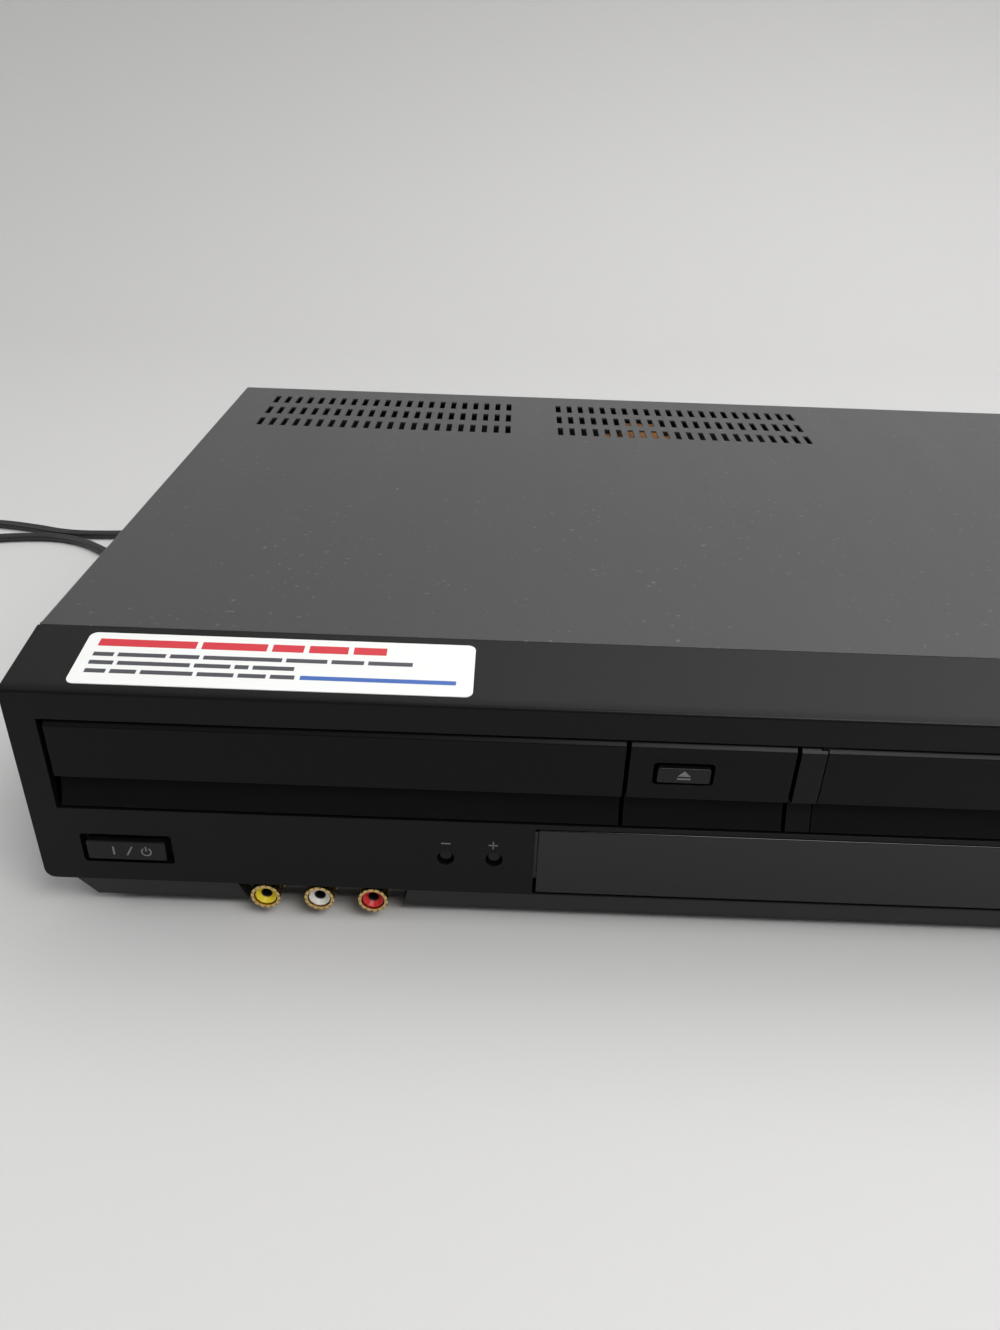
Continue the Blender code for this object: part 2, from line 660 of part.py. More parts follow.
def mesh_of(name, solids):
    """One mesh that holds solids which lie apart."""
    shape = bmesh.new()
    for points, faces in solids:
        made = [shape.verts.new(p) for p in points]
        for face in faces:
            shape.faces.new([made[i] for i in face])
    bmesh.ops.recalc_face_normals(shape, faces=shape.faces)
    mesh = bpy.data.meshes.new(name)
    shape.to_mesh(mesh)
    shape.free()
    return mesh


def piece(name, surface, solids, steps=(), origin=None, smooth=False):
    """A named piece: a solid that others are fused on or cut from, in the order of the steps."""
    mesh = mesh_of(name, solids)
    made = bpy.data.objects.new(name, mesh)
    if origin is not None:
        mesh.transform(Matrix.Translation(-origin))
        made.location = origin
    if smooth:
        mesh.shade_smooth()
        mesh.set_sharp_from_angle(angle=math.radians(SMOOTH_ANGLE_DEG))
    made.data.materials.append(surface)
    bpy.context.scene.collection.objects.link(made)
    for number, (kind, group) in enumerate(steps):
        title = f"{name}_step_{number}"
        tool = bpy.data.objects.new(title, mesh_of(title, group))
        tool.data.materials.append(surface)
        tool.hide_render = True
        tool.display_type = "WIRE"
        bpy.context.scene.collection.objects.link(tool)
        step = made.modifiers.new(title, "BOOLEAN")
        step.operation = kind
        step.object = tool
        step.solver = "EXACT"
    return made


def rounded(half_width, half_height, radius, steps=CORNER_STEPS_COUNT):
    """A rectangle with round corners, about its middle."""
    outline = []
    corners = ((1, 1, 0), (-1, 1, 90), (-1, -1, 180), (1, -1, 270))
    for right, up, start in corners:
        for k in range(steps + 1):
            angle = math.radians(start + 90 * k / steps)
            across = right * (half_width - radius) + radius * math.cos(angle)
            rise = up * (half_height - radius) + radius * math.sin(angle)
            outline.append((across, rise))
    return outline


def top_cover(surface):
    """Painted steel: a top, two sides and a lip round the back, with two blocks of vent slots."""
    half = BODY_WIDTH / 2
    inside = half - COVER_SHEET
    front, back = at_y(COVER_FRONT), at_y(BODY_DEPTH)
    outer = brick(-half, half, front, back, FACE_BOTTOM, BODY_TOP)
    lip_front = back - COVER_SHEET
    low = FACE_BOTTOM - OVERRUN
    hollow = brick(-inside, inside, front - OVERRUN, lip_front, low, BODY_TOP - COVER_SHEET)
    gap = inside - COVER_LIP
    lip_bottom = BODY_TOP - COVER_SHEET - COVER_LIP
    mouth = brick(-gap, gap, lip_front - OVERRUN, back + OVERRUN, low, lip_bottom)
    base, top = BODY_TOP - COVER_SHEET - OVERRUN, BODY_TOP + OVERRUN
    slots = []
    for group in range(VENT_GROUP_COUNT):
        for row in range(VENT_ROW_COUNT):
            for number in range(VENT_COUNT):
                x = VENT_FIRST + group * VENT_GROUP_PITCH + number * VENT_PITCH
                y = BODY_DEPTH - VENT_REAR_MARGIN - row * VENT_ROW_PITCH
                front_end, rear_end = y - VENT_LENGTH / 2, y + VENT_LENGTH / 2
                slots.append(middle_block(x, VENT_WIDTH / 2, front_end, rear_end, base, top))
    holes = []
    for side in (-1, 1):
        start = Vector((side * half - OVERRUN, at_y(SIDE_SCREW_DEPTH), SIDE_SCREW_HEIGHT))
        holes.append(rod(start, "X", 2 * OVERRUN, SCREW_HOLE_RADIUS))
    steps = ((CUT, [hollow]), (CUT, [mouth]), (CUT, slots), (CUT, holes))
    piece("top_cover", surface, [outer], steps)


def cover_screws(surface):
    """One screw on each side holds the cover to the pan."""
    end = SEAT_GAP + SCREW_HEAD_HEIGHT
    bevel = SCREW_HEAD_HEIGHT / 2
    profile = [
        (0, -SCREW_LENGTH),
        (SCREW_SHANK_RADIUS, -SCREW_LENGTH),
        (SCREW_SHANK_RADIUS, SEAT_GAP),
        (SCREW_HEAD_RADIUS, SEAT_GAP),
        (SCREW_HEAD_RADIUS, end - bevel),
        (SCREW_HEAD_RADIUS - bevel, end),
        (0, end),
    ]
    for name, side in (("cover_screw_left", -1), ("cover_screw_right", 1)):
        place = Vector((side * BODY_WIDTH / 2, at_y(SIDE_SCREW_DEPTH), SIDE_SCREW_HEIGHT))
        facing = [(radius, side * along) for radius, along in profile]
        solid = turned(facing, place, "X", ROD_SIDES_COUNT)
        piece(name, surface, [solid], smooth=True)


def foot_places():
    """The four feet, as (name, x, y)."""
    reach = BODY_WIDTH / 2 - FOOT_SIDE_MARGIN
    front, rear = at_y(FOOT_FRONT_MARGIN), at_y(BODY_DEPTH - FOOT_BACK_MARGIN)
    return (
        ("foot_front_left", -reach, front),
        ("foot_front_right", reach, front),
        ("foot_rear_left", -reach, rear),
        ("foot_rear_right", reach, rear),
    )


def feet(surface):
    """Four equal feet, each pressed into the pan by its stem."""
    top = FOOT_HEIGHT - SEAT_GAP
    profile = [
        (0, 0),
        (FOOT_BASE_RADIUS, 0),
        (FOOT_RADIUS, top / 2),
        (FOOT_RADIUS, top),
        (FOOT_STEM_RADIUS, top),
        (FOOT_STEM_RADIUS, top + FOOT_STEM_HEIGHT),
        (0, top + FOOT_STEM_HEIGHT),
    ]
    for name, x, y in foot_places():
        piece(name, surface, [turned(profile, Vector((x, y, 0)), "Z", ROUND_SIDES_COUNT)], smooth=True)


def standoff_places(left, right, front, rear):
    """Four places near the corners of a board."""
    xs = (left + STANDOFF_MARGIN, right - STANDOFF_MARGIN)
    ys = (front + STANDOFF_MARGIN, rear - STANDOFF_MARGIN)
    return [(x, y) for x in xs for y in ys]


def deck_post_places():
    """The four posts that carry the cassette deck."""
    reach = DECK_HALF - DECK_POST_MARGIN
    xs = (DECK_CENTRE - reach, DECK_CENTRE + reach)
    ys = (DECK_FRONT + DECK_POST_MARGIN, REAR_INSIDE - DECK_REAR_MARGIN - DECK_POST_MARGIN)
    return [(x, y) for x in xs for y in ys]


def main_board_edges():
    """Left, right, front and rear edges of the main board."""
    right = power_board_edges()[0] - BOARDS_APART
    return MAIN_BOARD_LEFT, right, MAIN_BOARD_FRONT, REAR_INSIDE - MAIN_BOARD_REAR_MARGIN


def power_board_edges():
    """Left, right, front and rear edges of the power board, between loader and deck."""
    left = CENTRE_PANEL_LEFT + POWER_BOARD_MARGIN
    right = CENTRE_PANEL_LEFT + CENTRE_PANEL_WIDTH + POWER_BOARD_MARGIN
    return left, right, POWER_BOARD_FRONT, REAR_INSIDE - POWER_BOARD_REAR_MARGIN


def pan_outline():
    """Half of the pan's outer line, from the middle of the body out and up, as (x, z)."""
    half = BODY_WIDTH / 2
    wall = half - COVER_SHEET - SEAT_GAP
    floor = FOOT_HEIGHT
    shelf = FACE_BOTTOM + SEAT_GAP
    return [
        (half - PAN_INSET - PAN_SLANT, floor),
        (half - PAN_INSET, shelf),
        (wall, shelf),
        (wall, shelf + PAN_WALL_HEIGHT),
        (wall - PAN_SHEET, shelf + PAN_WALL_HEIGHT),
        (wall - PAN_SHEET, shelf + PAN_SHEET),
        (half - PAN_INSET - PAN_SHEET, shelf + PAN_SHEET),
        (half - PAN_INSET - PAN_SLANT - PAN_SHEET, floor + PAN_SHEET),
    ]


def chassis_pan(surface):
    """Folded steel pan with standoffs for the boards and posts for the cassette deck."""
    right = pan_outline()
    left = [(-x, z) for x, z in right]
    outline = right + left[::-1]
    body = prism(outline, "Y", at_y(COVER_FRONT), at_y(PAN_END))
    low = FOOT_HEIGHT + PAN_SHEET / 2
    posts = []
    for x, y in standoff_places(*main_board_edges()) + standoff_places(*power_board_edges()):
        height = BOARD_BOTTOM - SEAT_GAP - low
        posts.append(rod(spot(x, y, low), "Z", height, STANDOFF_RADIUS))
    for x, y in deck_post_places():
        height = DECK_HEIGHT - SEAT_GAP - low
        posts.append(rod(spot(x, y, low), "Z", height, DECK_POST_RADIUS))
    holes = []
    for _, x, y in foot_places():
        start = Vector((x, y, FOOT_HEIGHT - OVERRUN))
        holes.append(rod(start, "Z", PAN_SHEET + 2 * OVERRUN, FOOT_STEM_RADIUS + SEAT_GAP))
    for side in (-1, 1):
        start = Vector((side * BODY_WIDTH / 2 - 2 * OVERRUN, at_y(SIDE_SCREW_DEPTH), SIDE_SCREW_HEIGHT))
        holes.append(rod(start, "X", 4 * OVERRUN, SCREW_HOLE_RADIUS))
    piece("chassis_pan", surface, [body], ((ADD, posts), (CUT, holes)))


def rear_jack_places():
    """Rear jacks as (x, z)."""
    places = []
    for row in range(REAR_JACK_ROW_COUNT):
        for column in range(JACK_COUNT):
            x = REAR_JACK_FIRST + column * JACK_PITCH
            places.append((x, REAR_JACK_HEIGHT + row * REAR_JACK_ROW_PITCH))
    return places


def rear_panel(surface):
    """Steel panel that closes the back, with holes for the jacks and the cord."""
    half = BODY_WIDTH / 2
    wall = half - COVER_SHEET - SEAT_GAP
    top = BODY_TOP - COVER_SHEET - SEAT_GAP
    shelf = FACE_BOTTOM + SEAT_GAP
    right = [
        (half - PAN_INSET - PAN_SLANT, FOOT_HEIGHT),
        (half - PAN_INSET, shelf),
        (wall, shelf),
        (wall, top),
    ]
    outline = right + [(-x, z) for x, z in right[::-1]]
    sheet = prism(outline, "Y", at_y(REAR_INSIDE), at_y(REAR_OUTSIDE))
    start, length = REAR_INSIDE - OVERRUN, COVER_SHEET + 2 * OVERRUN
    holes = []
    for x, z in rear_jack_places():
        holes.append(rod(spot(x, start, z), "Y", length, REAR_JACK_HOLE_RADIUS))
    holes.append(rod(spot(CORD_EXIT_LEFT, start, CORD_EXIT_HEIGHT), "Y", length, GLAND_HOLE_RADIUS))
    piece("rear_panel", surface, [sheet], ((CUT, holes),))


def bezel_corner_cut(side):
    """What is cut from below one end of the face, where the case steps in to the lower band."""
    half = BODY_WIDTH / 2
    out = half + OVERRUN
    low = FOOT_HEIGHT - OVERRUN
    centre_x, centre_z = half - FACE_CORNER_RADIUS, FACE_BOTTOM + FACE_CORNER_RADIUS
    arc = []
    for k in range(CORNER_STEPS_COUNT + 1):
        angle = math.radians(-90 * k / CORNER_STEPS_COUNT)
        x = centre_x + FACE_CORNER_RADIUS * math.cos(angle)
        arc.append((x, centre_z + FACE_CORNER_RADIUS * math.sin(angle)))
    slope_end = half - PAN_INSET - PAN_SLANT
    outline = [(out, centre_z), *arc, (half - PAN_INSET, FACE_BOTTOM), (slope_end, FOOT_HEIGHT)]
    outline += [(slope_end, low), (out, low)]
    facing = [(side * x, z) for x, z in outline]
    return prism(facing, "Y", at_y(-OVERRUN), at_y(BROW_DEPTH + OVERRUN))


def opening_cut(centre, height, half_width, half_height, radius, depth=PANEL_DEPTH):
    """A cutter with round corners through the face."""
    outline = rounded(half_width, half_height, radius)
    moved = [(at_x(centre) + u, height + v) for u, v in outline]
    return prism(moved, "Y", at_y(-OVERRUN), at_y(depth + OVERRUN))


def tracking_places():
    """The round buttons, as (name, x)."""
    return (
        ("tracking_minus_button", TRACKING_CENTRE),
        ("tracking_plus_button", TRACKING_CENTRE + TRACKING_PITCH),
    )


def key_places():
    """The deck's buttons to the right of the window, as (name, x, z)."""
    first = WINDOW_LEFT + WINDOW_WIDTH + KEY_FIRST
    high = RECESS_BOTTOM - KEY_ROW_DROP
    names = ("rewind_button", "play_button", "fast_forward_button")
    places = [(name, first + k * KEY_PITCH, high) for k, name in enumerate(names)]
    places.append(("stop_eject_button", first + KEY_PITCH, high - KEY_ROW_PITCH))
    return places


def window_edges():
    """Left, right, bottom and top of the display window."""
    bottom = FACE_BOTTOM + WINDOW_BOTTOM_MARGIN
    return WINDOW_LEFT, WINDOW_LEFT + WINDOW_WIDTH, bottom, RECESS_BOTTOM - WINDOW_TOP_MARGIN


def bezel_shell():
    """The bezel's outside as one block, and the two hollows behind it."""
    half = BODY_WIDTH / 2
    outer = [
        (BROW_DEPTH, BODY_TOP),
        (0, FACE_TOP),
        (0, FACE_BOTTOM),
        (BAND_TOP_SETBACK, FACE_BOTTOM - SEAT_GAP),
        (BAND_SETBACK, FOOT_HEIGHT + BAND_LIP),
        (BAND_SETBACK + BAND_LIP / 3, FOOT_HEIGHT),
        (BROW_DEPTH, FOOT_HEIGHT),
    ]
    slope = BROW_DROP / BROW_DEPTH
    end = BROW_DEPTH + OVERRUN
    floor = FACE_BOTTOM + WALL
    upper = [
        (end, BODY_TOP - WALL + slope * OVERRUN),
        (WALL, FACE_TOP - WALL + slope * WALL),
        (WALL, floor),
        (end, floor),
    ]
    lower = [
        (WALL, floor + OVERRUN),
        (WALL, floor),
        (BAND_SETBACK + WALL, FACE_BOTTOM - SEAT_GAP),
        (BAND_SETBACK + WALL, FOOT_HEIGHT + WALL),
        (end, FOOT_HEIGHT + WALL),
        (end, floor + OVERRUN),
    ]
    shell = prism([(at_y(y), z) for y, z in outer], "X", -half, half)
    inset = half - WALL
    above = prism([(at_y(y), z) for y, z in upper], "X", -inset, inset)
    reach = half - PAN_INSET - PAN_SLANT - WALL
    below = prism([(at_y(y), z) for y, z in lower], "X", -reach, reach)
    return shell, above, below


def door_strips():
    """The strips beside the cassette door, and the ties that hold them to the face from behind."""
    left, right = VCR_PANEL_LEFT, VCR_PANEL_LEFT + VCR_PANEL_WIDTH
    strips = []
    ties = []
    for start in (left, right - DOOR_STRIP_WIDTH):
        end = start + DOOR_STRIP_WIDTH
        strips.append(panel_solid(start, end))
        inner = start + SEAT_GAP, end - SEAT_GAP, STRIP_TIE, PANEL_DEPTH - SEAT_GAP
        ties.append(block(*inner, RECESS_BOTTOM - STRIP_TIE, RECESS_BOTTOM + STRIP_TIE))
        ties.append(block(*inner, RECESS_TOP - STRIP_TIE, RECESS_TOP + STRIP_TIE))
    holes = []
    for side in (-1, 1):
        start = door_pin_place(side) - Vector((side * OVERRUN, 0, 0))
        length = side * (OVERRUN + DOOR_PIN_LENGTH + SEAT_GAP)
        holes.append(rod(start, "X", length, DOOR_PIN_RADIUS + SEAT_GAP))
    return strips, ties, holes


def front_bezel(surface):
    """Moulded front: sloping brow, face, lower band, the walls behind them and the door's strips."""
    shell, above, below = bezel_shell()
    posts = []
    length = FRONT_BOARD_DEPTH - SEAT_GAP - WALL / 2
    last = BODY_WIDTH - FRONT_BOARD_MARGIN - 2 * BEZEL_POST_RADIUS
    for x in (BEZEL_POST_MARGIN, WINDOW_LEFT + WINDOW_WIDTH + BEZEL_END_POST_MARGIN, last):
        posts.append(rod(spot(x, WALL / 2, BEZEL_POST_HEIGHT), "Y", length, BEZEL_POST_RADIUS))
    end = BODY_WIDTH - RECESS_SIDE
    recess = block(RECESS_SIDE, end, -OVERRUN, PANEL_DEPTH, RECESS_BOTTOM, RECESS_TOP)
    left, right, bottom, top = window_edges()
    left, right = left - WINDOW_SIDE_GAP, right + WINDOW_SIDE_GAP
    window = block(left, right, -OVERRUN, PANEL_DEPTH, bottom - WINDOW_GAP, top + WINDOW_GAP)
    half_width, half_height = POWER_WIDTH / 2 + POWER_GAP, POWER_HEIGHT / 2 + POWER_GAP
    openings = [opening_cut(POWER_CENTRE, POWER_LEVEL, half_width, half_height, POWER_GAP / 2)]
    for _, x in tracking_places():
        place = spot(x, -OVERRUN, TRACKING_LEVEL)
        openings.append(rod(place, "Y", PANEL_DEPTH + OVERRUN, TRACKING_RADIUS + TRACKING_GAP))
    for _, x, z in key_places():
        openings.append(opening_cut(x, z, KEY_WIDTH / 2 + KEY_GAP, KEY_HEIGHT / 2 + KEY_GAP, KEY_GAP))
    right = NOTCH_LEFT + NOTCH_WIDTH
    low = FOOT_HEIGHT - OVERRUN
    outline = [
        (at_x(NOTCH_LEFT), FACE_BOTTOM),
        (at_x(right), FACE_BOTTOM),
        (at_x(right - NOTCH_SLANT), low),
        (at_x(NOTCH_LEFT + NOTCH_SLANT), low),
    ]
    notch = prism(outline, "Y", at_y(-OVERRUN), at_y(JACK_LENGTH + 2 * SEAT_GAP))
    corners = [bezel_corner_cut(side) for side in (-1, 1)]
    strips, ties, holes = door_strips()
    steps = (
        (CUT, [above]),
        (CUT, [below]),
        (CUT, corners),
        (CUT, [recess, window, notch]),
        (CUT, openings),
        (ADD, posts),
        (ADD, strips),
        (ADD, ties),
        (CUT, holes),
    )
    piece("front_bezel", surface, [shell], steps)


def panel_profile():
    """The panels' outline from the side, as (y, z), for a solid panel."""
    crease = PANEL_TOP - PANEL_UPPER_HEIGHT
    return [
        (PANEL_BEVEL, PANEL_TOP),
        (0, PANEL_TOP - PANEL_BEVEL),
        (0, crease),
        (PANEL_CREASE_DEPTH, crease - PANEL_CREASE_HEIGHT),
        (PANEL_LOW_SETBACK, PANEL_BOTTOM),
        (PANEL_DEPTH, PANEL_BOTTOM),
        (PANEL_DEPTH, PANEL_TOP),
    ]


def panel_solid(left, right):
    """A solid panel of the recess between two places."""
    return prism([(at_y(y), z) for y, z in panel_profile()], "X", at_x(left), at_x(right))


def tray_front(surface):
    """The panel that covers the disc tray's end."""
    piece("tray_front", surface, [panel_solid(TRAY_FRONT_LEFT, TRAY_FRONT_LEFT + TRAY_FRONT_WIDTH)])


def centre_panel(surface):
    """The narrow panel with the open/close button, held by a tab above and one below."""
    left, right = CENTRE_PANEL_LEFT, CENTRE_PANEL_LEFT + CENTRE_PANEL_WIDTH
    front, rear = BEHIND_WALL, BEHIND_WALL + PANEL_TAB_THICKNESS
    inner_left, inner_right = left + PANEL_TAB_MARGIN, right - PANEL_TAB_MARGIN
    overlap = PANEL_TAB_REACH / 3
    top = RECESS_TOP + PANEL_TAB_REACH
    upper = block(inner_left, inner_right, front, rear, PANEL_TOP - overlap, top)
    bottom = RECESS_BOTTOM - overlap
    lower = block(inner_left, inner_right, front, rear, bottom, PANEL_BOTTOM + overlap)
    x, half_width, half_height = left + OPEN_CLOSE_CENTRE, KEY_WIDTH / 2 + KEY_GAP, KEY_HEIGHT / 2 + KEY_GAP
    hole = opening_cut(x, OPEN_CLOSE_LEVEL, half_width, half_height, KEY_GAP)
    piece("centre_panel", surface, [panel_solid(left, right)], ((ADD, [upper, lower]), (CUT, [hole])))


def door_pin_place(side):
    """Where the cassette door's axis meets the side of the door."""
    x = DECK_CENTRE + side * DOOR_WIDTH / 2
    return spot(x, DOOR_AXIS_DEPTH, DOOR_AXIS_HEIGHT)


def vcr_door(surface):
    """The cassette door: a shell with the panels' profile and a pin at each top end."""
    crease = PANEL_TOP - PANEL_UPPER_HEIGHT
    profile = [
        (PANEL_BEVEL, PANEL_TOP),
        (0, PANEL_TOP - PANEL_BEVEL),
        (0, crease),
        (PANEL_CREASE_DEPTH, crease - PANEL_CREASE_HEIGHT),
        (PANEL_LOW_SETBACK, PANEL_BOTTOM),
        (PANEL_LOW_SETBACK + DOOR_SHELL, PANEL_BOTTOM),
        (PANEL_CREASE_DEPTH + DOOR_SHELL, crease - PANEL_CREASE_HEIGHT),
        (PANEL_CREASE_DEPTH + DOOR_SHELL, crease + PANEL_CREASE_HEIGHT),
        (DOOR_THICKNESS, crease + 2 * PANEL_CREASE_HEIGHT),
        (DOOR_THICKNESS, PANEL_TOP),
    ]
    ends = at_x(DOOR_LEFT), at_x(DOOR_LEFT + DOOR_WIDTH)
    body = prism([(at_y(y), z) for y, z in profile], "X", *ends)
    pins = []
    for side in (-1, 1):
        inward = door_pin_place(side) - Vector((side * OVERRUN, 0, 0))
        length = side * (DOOR_PIN_LENGTH + OVERRUN)
        pins.append(rod(inward, "X", length, DOOR_PIN_RADIUS, ROD_SIDES_COUNT // 2))
    axis = spot(DECK_CENTRE, DOOR_AXIS_DEPTH, DOOR_AXIS_HEIGHT)
    piece("vcr_door", surface, [body], ((ADD, pins),), origin=axis)


def display_window(surface):
    """Smoked window with an ear behind the face at each end."""
    left, right, bottom, top = window_edges()
    plate = block(left, right, 0, WINDOW_THICKNESS, bottom, top)
    ear_front, ear_rear = BEHIND_WALL, BEHIND_WALL + WINDOW_EAR_THICKNESS
    middle = WINDOW_THICKNESS / 2
    back = block(left, right, middle, ear_rear, bottom + WINDOW_GAP, top - WINDOW_GAP)
    reach = WINDOW_SIDE_GAP + WINDOW_EAR
    low, high = bottom + WINDOW_EAR, top - WINDOW_EAR
    ears = block(left - reach, right + reach, ear_front, ear_rear - WINDOW_GAP, low, high)
    piece("display_window", surface, [plate], ((ADD, [back]), (ADD, [ears])))


def sticker(surface):
    """A thin sticker that lies on the brow."""
    slope = BROW_DROP / BROW_DEPTH

    def over(y):
        return FACE_TOP + slope * y + SEAT_GAP / 2

    front, rear = STICKER_FRONT, STICKER_FRONT + STICKER_WIDTH
    outline = [
        (at_y(front), over(front)),
        (at_y(rear), over(rear)),
        (at_y(rear), over(rear) + STICKER_THICKNESS),
        (at_y(front), over(front) + STICKER_THICKNESS),
    ]
    ends = at_x(STICKER_LEFT), at_x(STICKER_LEFT + STICKER_LENGTH)
    piece("sticker", surface, [prism(outline, "X", *ends)])


def key(name, surface, centre, height, size, gap, proud, wall):
    """A button: its cap through the wall, a flange that keeps it in, and a stem to its switch."""
    origin = spot(centre, wall, height)

    def slab(extra, front, rear):
        outline = rounded(size[0] / 2 + extra, size[1] / 2 + extra, KEY_GAP / 2)
        moved = [(at_x(centre) + u, height + v) for u, v in outline]
        return prism(moved, "Y", at_y(front), at_y(rear))

    seat = wall + SEAT_GAP
    rear = seat + KEY_FLANGE_THICKNESS
    overlap = KEY_FLANGE_THICKNESS / 2
    cap = slab(0, -proud, seat + overlap)
    flange = slab(gap + KEY_FLANGE, seat, rear)
    stem = rod(spot(centre, rear - overlap, height), "Y", KEY_STEM_LENGTH + overlap, KEY_STEM_RADIUS)
    piece(name, surface, [cap], ((ADD, [flange]), (ADD, [stem])), origin=origin)


def buttons(surface):
    """Every button on the front."""
    size = POWER_WIDTH, POWER_HEIGHT
    key("power_button", surface, POWER_CENTRE, POWER_LEVEL, size, POWER_GAP, POWER_PROUD, WALL)
    size = KEY_WIDTH, KEY_HEIGHT
    x = CENTRE_PANEL_LEFT + OPEN_CLOSE_CENTRE
    key("open_close_button", surface, x, OPEN_CLOSE_LEVEL, size, KEY_GAP, KEY_PROUD, PANEL_DEPTH)
    for name, x, z in key_places():
        key(name, surface, x, z, size, KEY_GAP, KEY_PROUD, WALL)
    rear = BEHIND_WALL + KEY_FLANGE_THICKNESS
    flange_radius = TRACKING_RADIUS + TRACKING_GAP + KEY_FLANGE
    profile = [
        (0, TRACKING_SETBACK),
        (TRACKING_RADIUS, TRACKING_SETBACK),
        (TRACKING_RADIUS, BEHIND_WALL),
        (flange_radius, BEHIND_WALL),
        (flange_radius, rear),
        (KEY_STEM_RADIUS, rear),
        (KEY_STEM_RADIUS, KEYS_BACK),
        (0, KEYS_BACK),
    ]
    for name, x in tracking_places():
        origin = spot(x, WALL, TRACKING_LEVEL)
        solid = turned(profile, spot(x, 0, TRACKING_LEVEL), "Y", ROD_SIDES_COUNT)
        piece(name, surface, [solid], origin=origin, smooth=True)


def switch(centre, height, stem_end, board_front):
    """A small push switch: a square body on the board and a round plunger before it."""
    plunger_front = stem_end + SWITCH_GAP
    front = board_front - SWITCH_BODY
    half = SWITCH_SIZE / 2
    rear = board_front + SEAT_GAP
    body = middle_block(centre, half, front, rear, height - half, height + half)
    length = front - plunger_front + SEAT_GAP
    plunger = rod(spot(centre, plunger_front, height), "Y", length, SWITCH_PLUNGER_RADIUS)
    return body, plunger


def front_board(surface):
    """The board behind the face, with its switches and the display behind the window."""
    front, rear = FRONT_BOARD_DEPTH, FRONT_BOARD_DEPTH + BOARD_THICKNESS
    bottom = FACE_BOTTOM + FRONT_BOARD_LIFT
    top = PANEL_BOTTOM - SEAT_GAP - PANEL_TOP_GAP
    end = BODY_WIDTH - FRONT_BOARD_MARGIN
    board = block(FRONT_BOARD_MARGIN, end, front, rear, bottom, top)
    left = CENTRE_PANEL_LEFT + PANEL_TAB_MARGIN / 2
    right = CENTRE_PANEL_LEFT + CENTRE_PANEL_WIDTH - PANEL_TAB_MARGIN / 2
    shift = PANEL_DEPTH - WALL
    riser_front = front + shift
    riser_rear = riser_front + BOARD_THICKNESS
    riser = block(left, right, riser_front, riser_rear, top - OVERRUN, RECESS_TOP - KEY_HEIGHT)
    foot = block(left, right, rear - SEAT_GAP, riser_rear, top - 2 * OVERRUN, top - OVERRUN / 2)
    places = [(x, z, KEYS_BACK, front) for _, x, z in key_places()]
    places += [(x, TRACKING_LEVEL, KEYS_BACK, front) for _, x in tracking_places()]
    places.append((POWER_CENTRE, POWER_LEVEL, KEYS_BACK, front))
    x = CENTRE_PANEL_LEFT + OPEN_CLOSE_CENTRE
    places.append((x, OPEN_CLOSE_LEVEL, KEYS_BACK + shift, riser_front))
    bodies, plungers = zip(*(switch(*place) for place in places))
    left, right, bottom, top = window_edges()
    left, right = left + DISPLAY_MARGIN, right - DISPLAY_MARGIN
    display_front = front - DISPLAY_DEPTH
    low, high = bottom + WINDOW_EAR, top - WINDOW_EAR
    display = block(left, right, display_front, front + SEAT_GAP, low, high)
    steps = ((ADD, [foot]), (ADD, [riser]), (ADD, bodies), (ADD, plungers), (ADD, [display]))
    piece("front_board", surface, [board], steps)


def ring_profile(length):
    """A jack's metal shell, with its rim at zero."""
    return [(JACK_BORE_RADIUS, 0), (JACK_RADIUS, 0), (JACK_RADIUS, length), (JACK_BORE_RADIUS, length)]


def insert_profile(length):
    """A jack's coloured insert: a funnel and a hole for the pin."""
    front = JACK_INSERT_SETBACK
    return [
        (0, length),
        (JACK_INSERT_RADIUS, length),
        (JACK_INSERT_RADIUS, front),
        (JACK_MOUTH_RADIUS, front),
        (JACK_HOLE_RADIUS, front + JACK_MOUTH_DEPTH),
        (JACK_HOLE_RADIUS, JACK_HOLE_DEPTH),
        (0, JACK_HOLE_DEPTH),
    ]


def front_jacks(gold, yellow, white, red):
    """Three jacks at the front: their shells on one bent plate, and three coloured inserts."""
    front = JACK_LENGTH - JACK_PLATE_THICKNESS / 2
    rear = front + JACK_PLATE_THICKNESS
    bottom = FOOT_HEIGHT + WALL + SEAT_GAP
    height = FACE_BOTTOM - JACK_DROP
    left, right = NOTCH_LEFT - JACK_PLATE_MARGIN, NOTCH_LEFT + NOTCH_WIDTH + JACK_PLATE_MARGIN
    plate = block(left, right, front, rear, bottom, bottom + JACK_PLATE_HEIGHT)
    foot_rear = rear + JACK_PLATE_FOOT
    middle = (front + rear) / 2
    foot = block(left, right, middle, foot_rear, bottom, bottom + JACK_PLATE_THICKNESS)
    rings = []
    colours = ("yellow", yellow), ("white", white), ("red", red)
    for column, (colour, surface) in enumerate(colours):
        place = spot(JACK_FIRST + column * JACK_PITCH, 0, height)
        rings.append(turned(ring_profile(middle), place, "Y", ROUND_SIDES_COUNT))
        solid = turned(insert_profile(front - SEAT_GAP), place, "Y", ROD_SIDES_COUNT)
        piece(f"jack_insert_{colour}", surface, [solid], smooth=True)
    piece("front_jack_shells", gold, [plate], ((ADD, [foot]), (ADD, rings)))


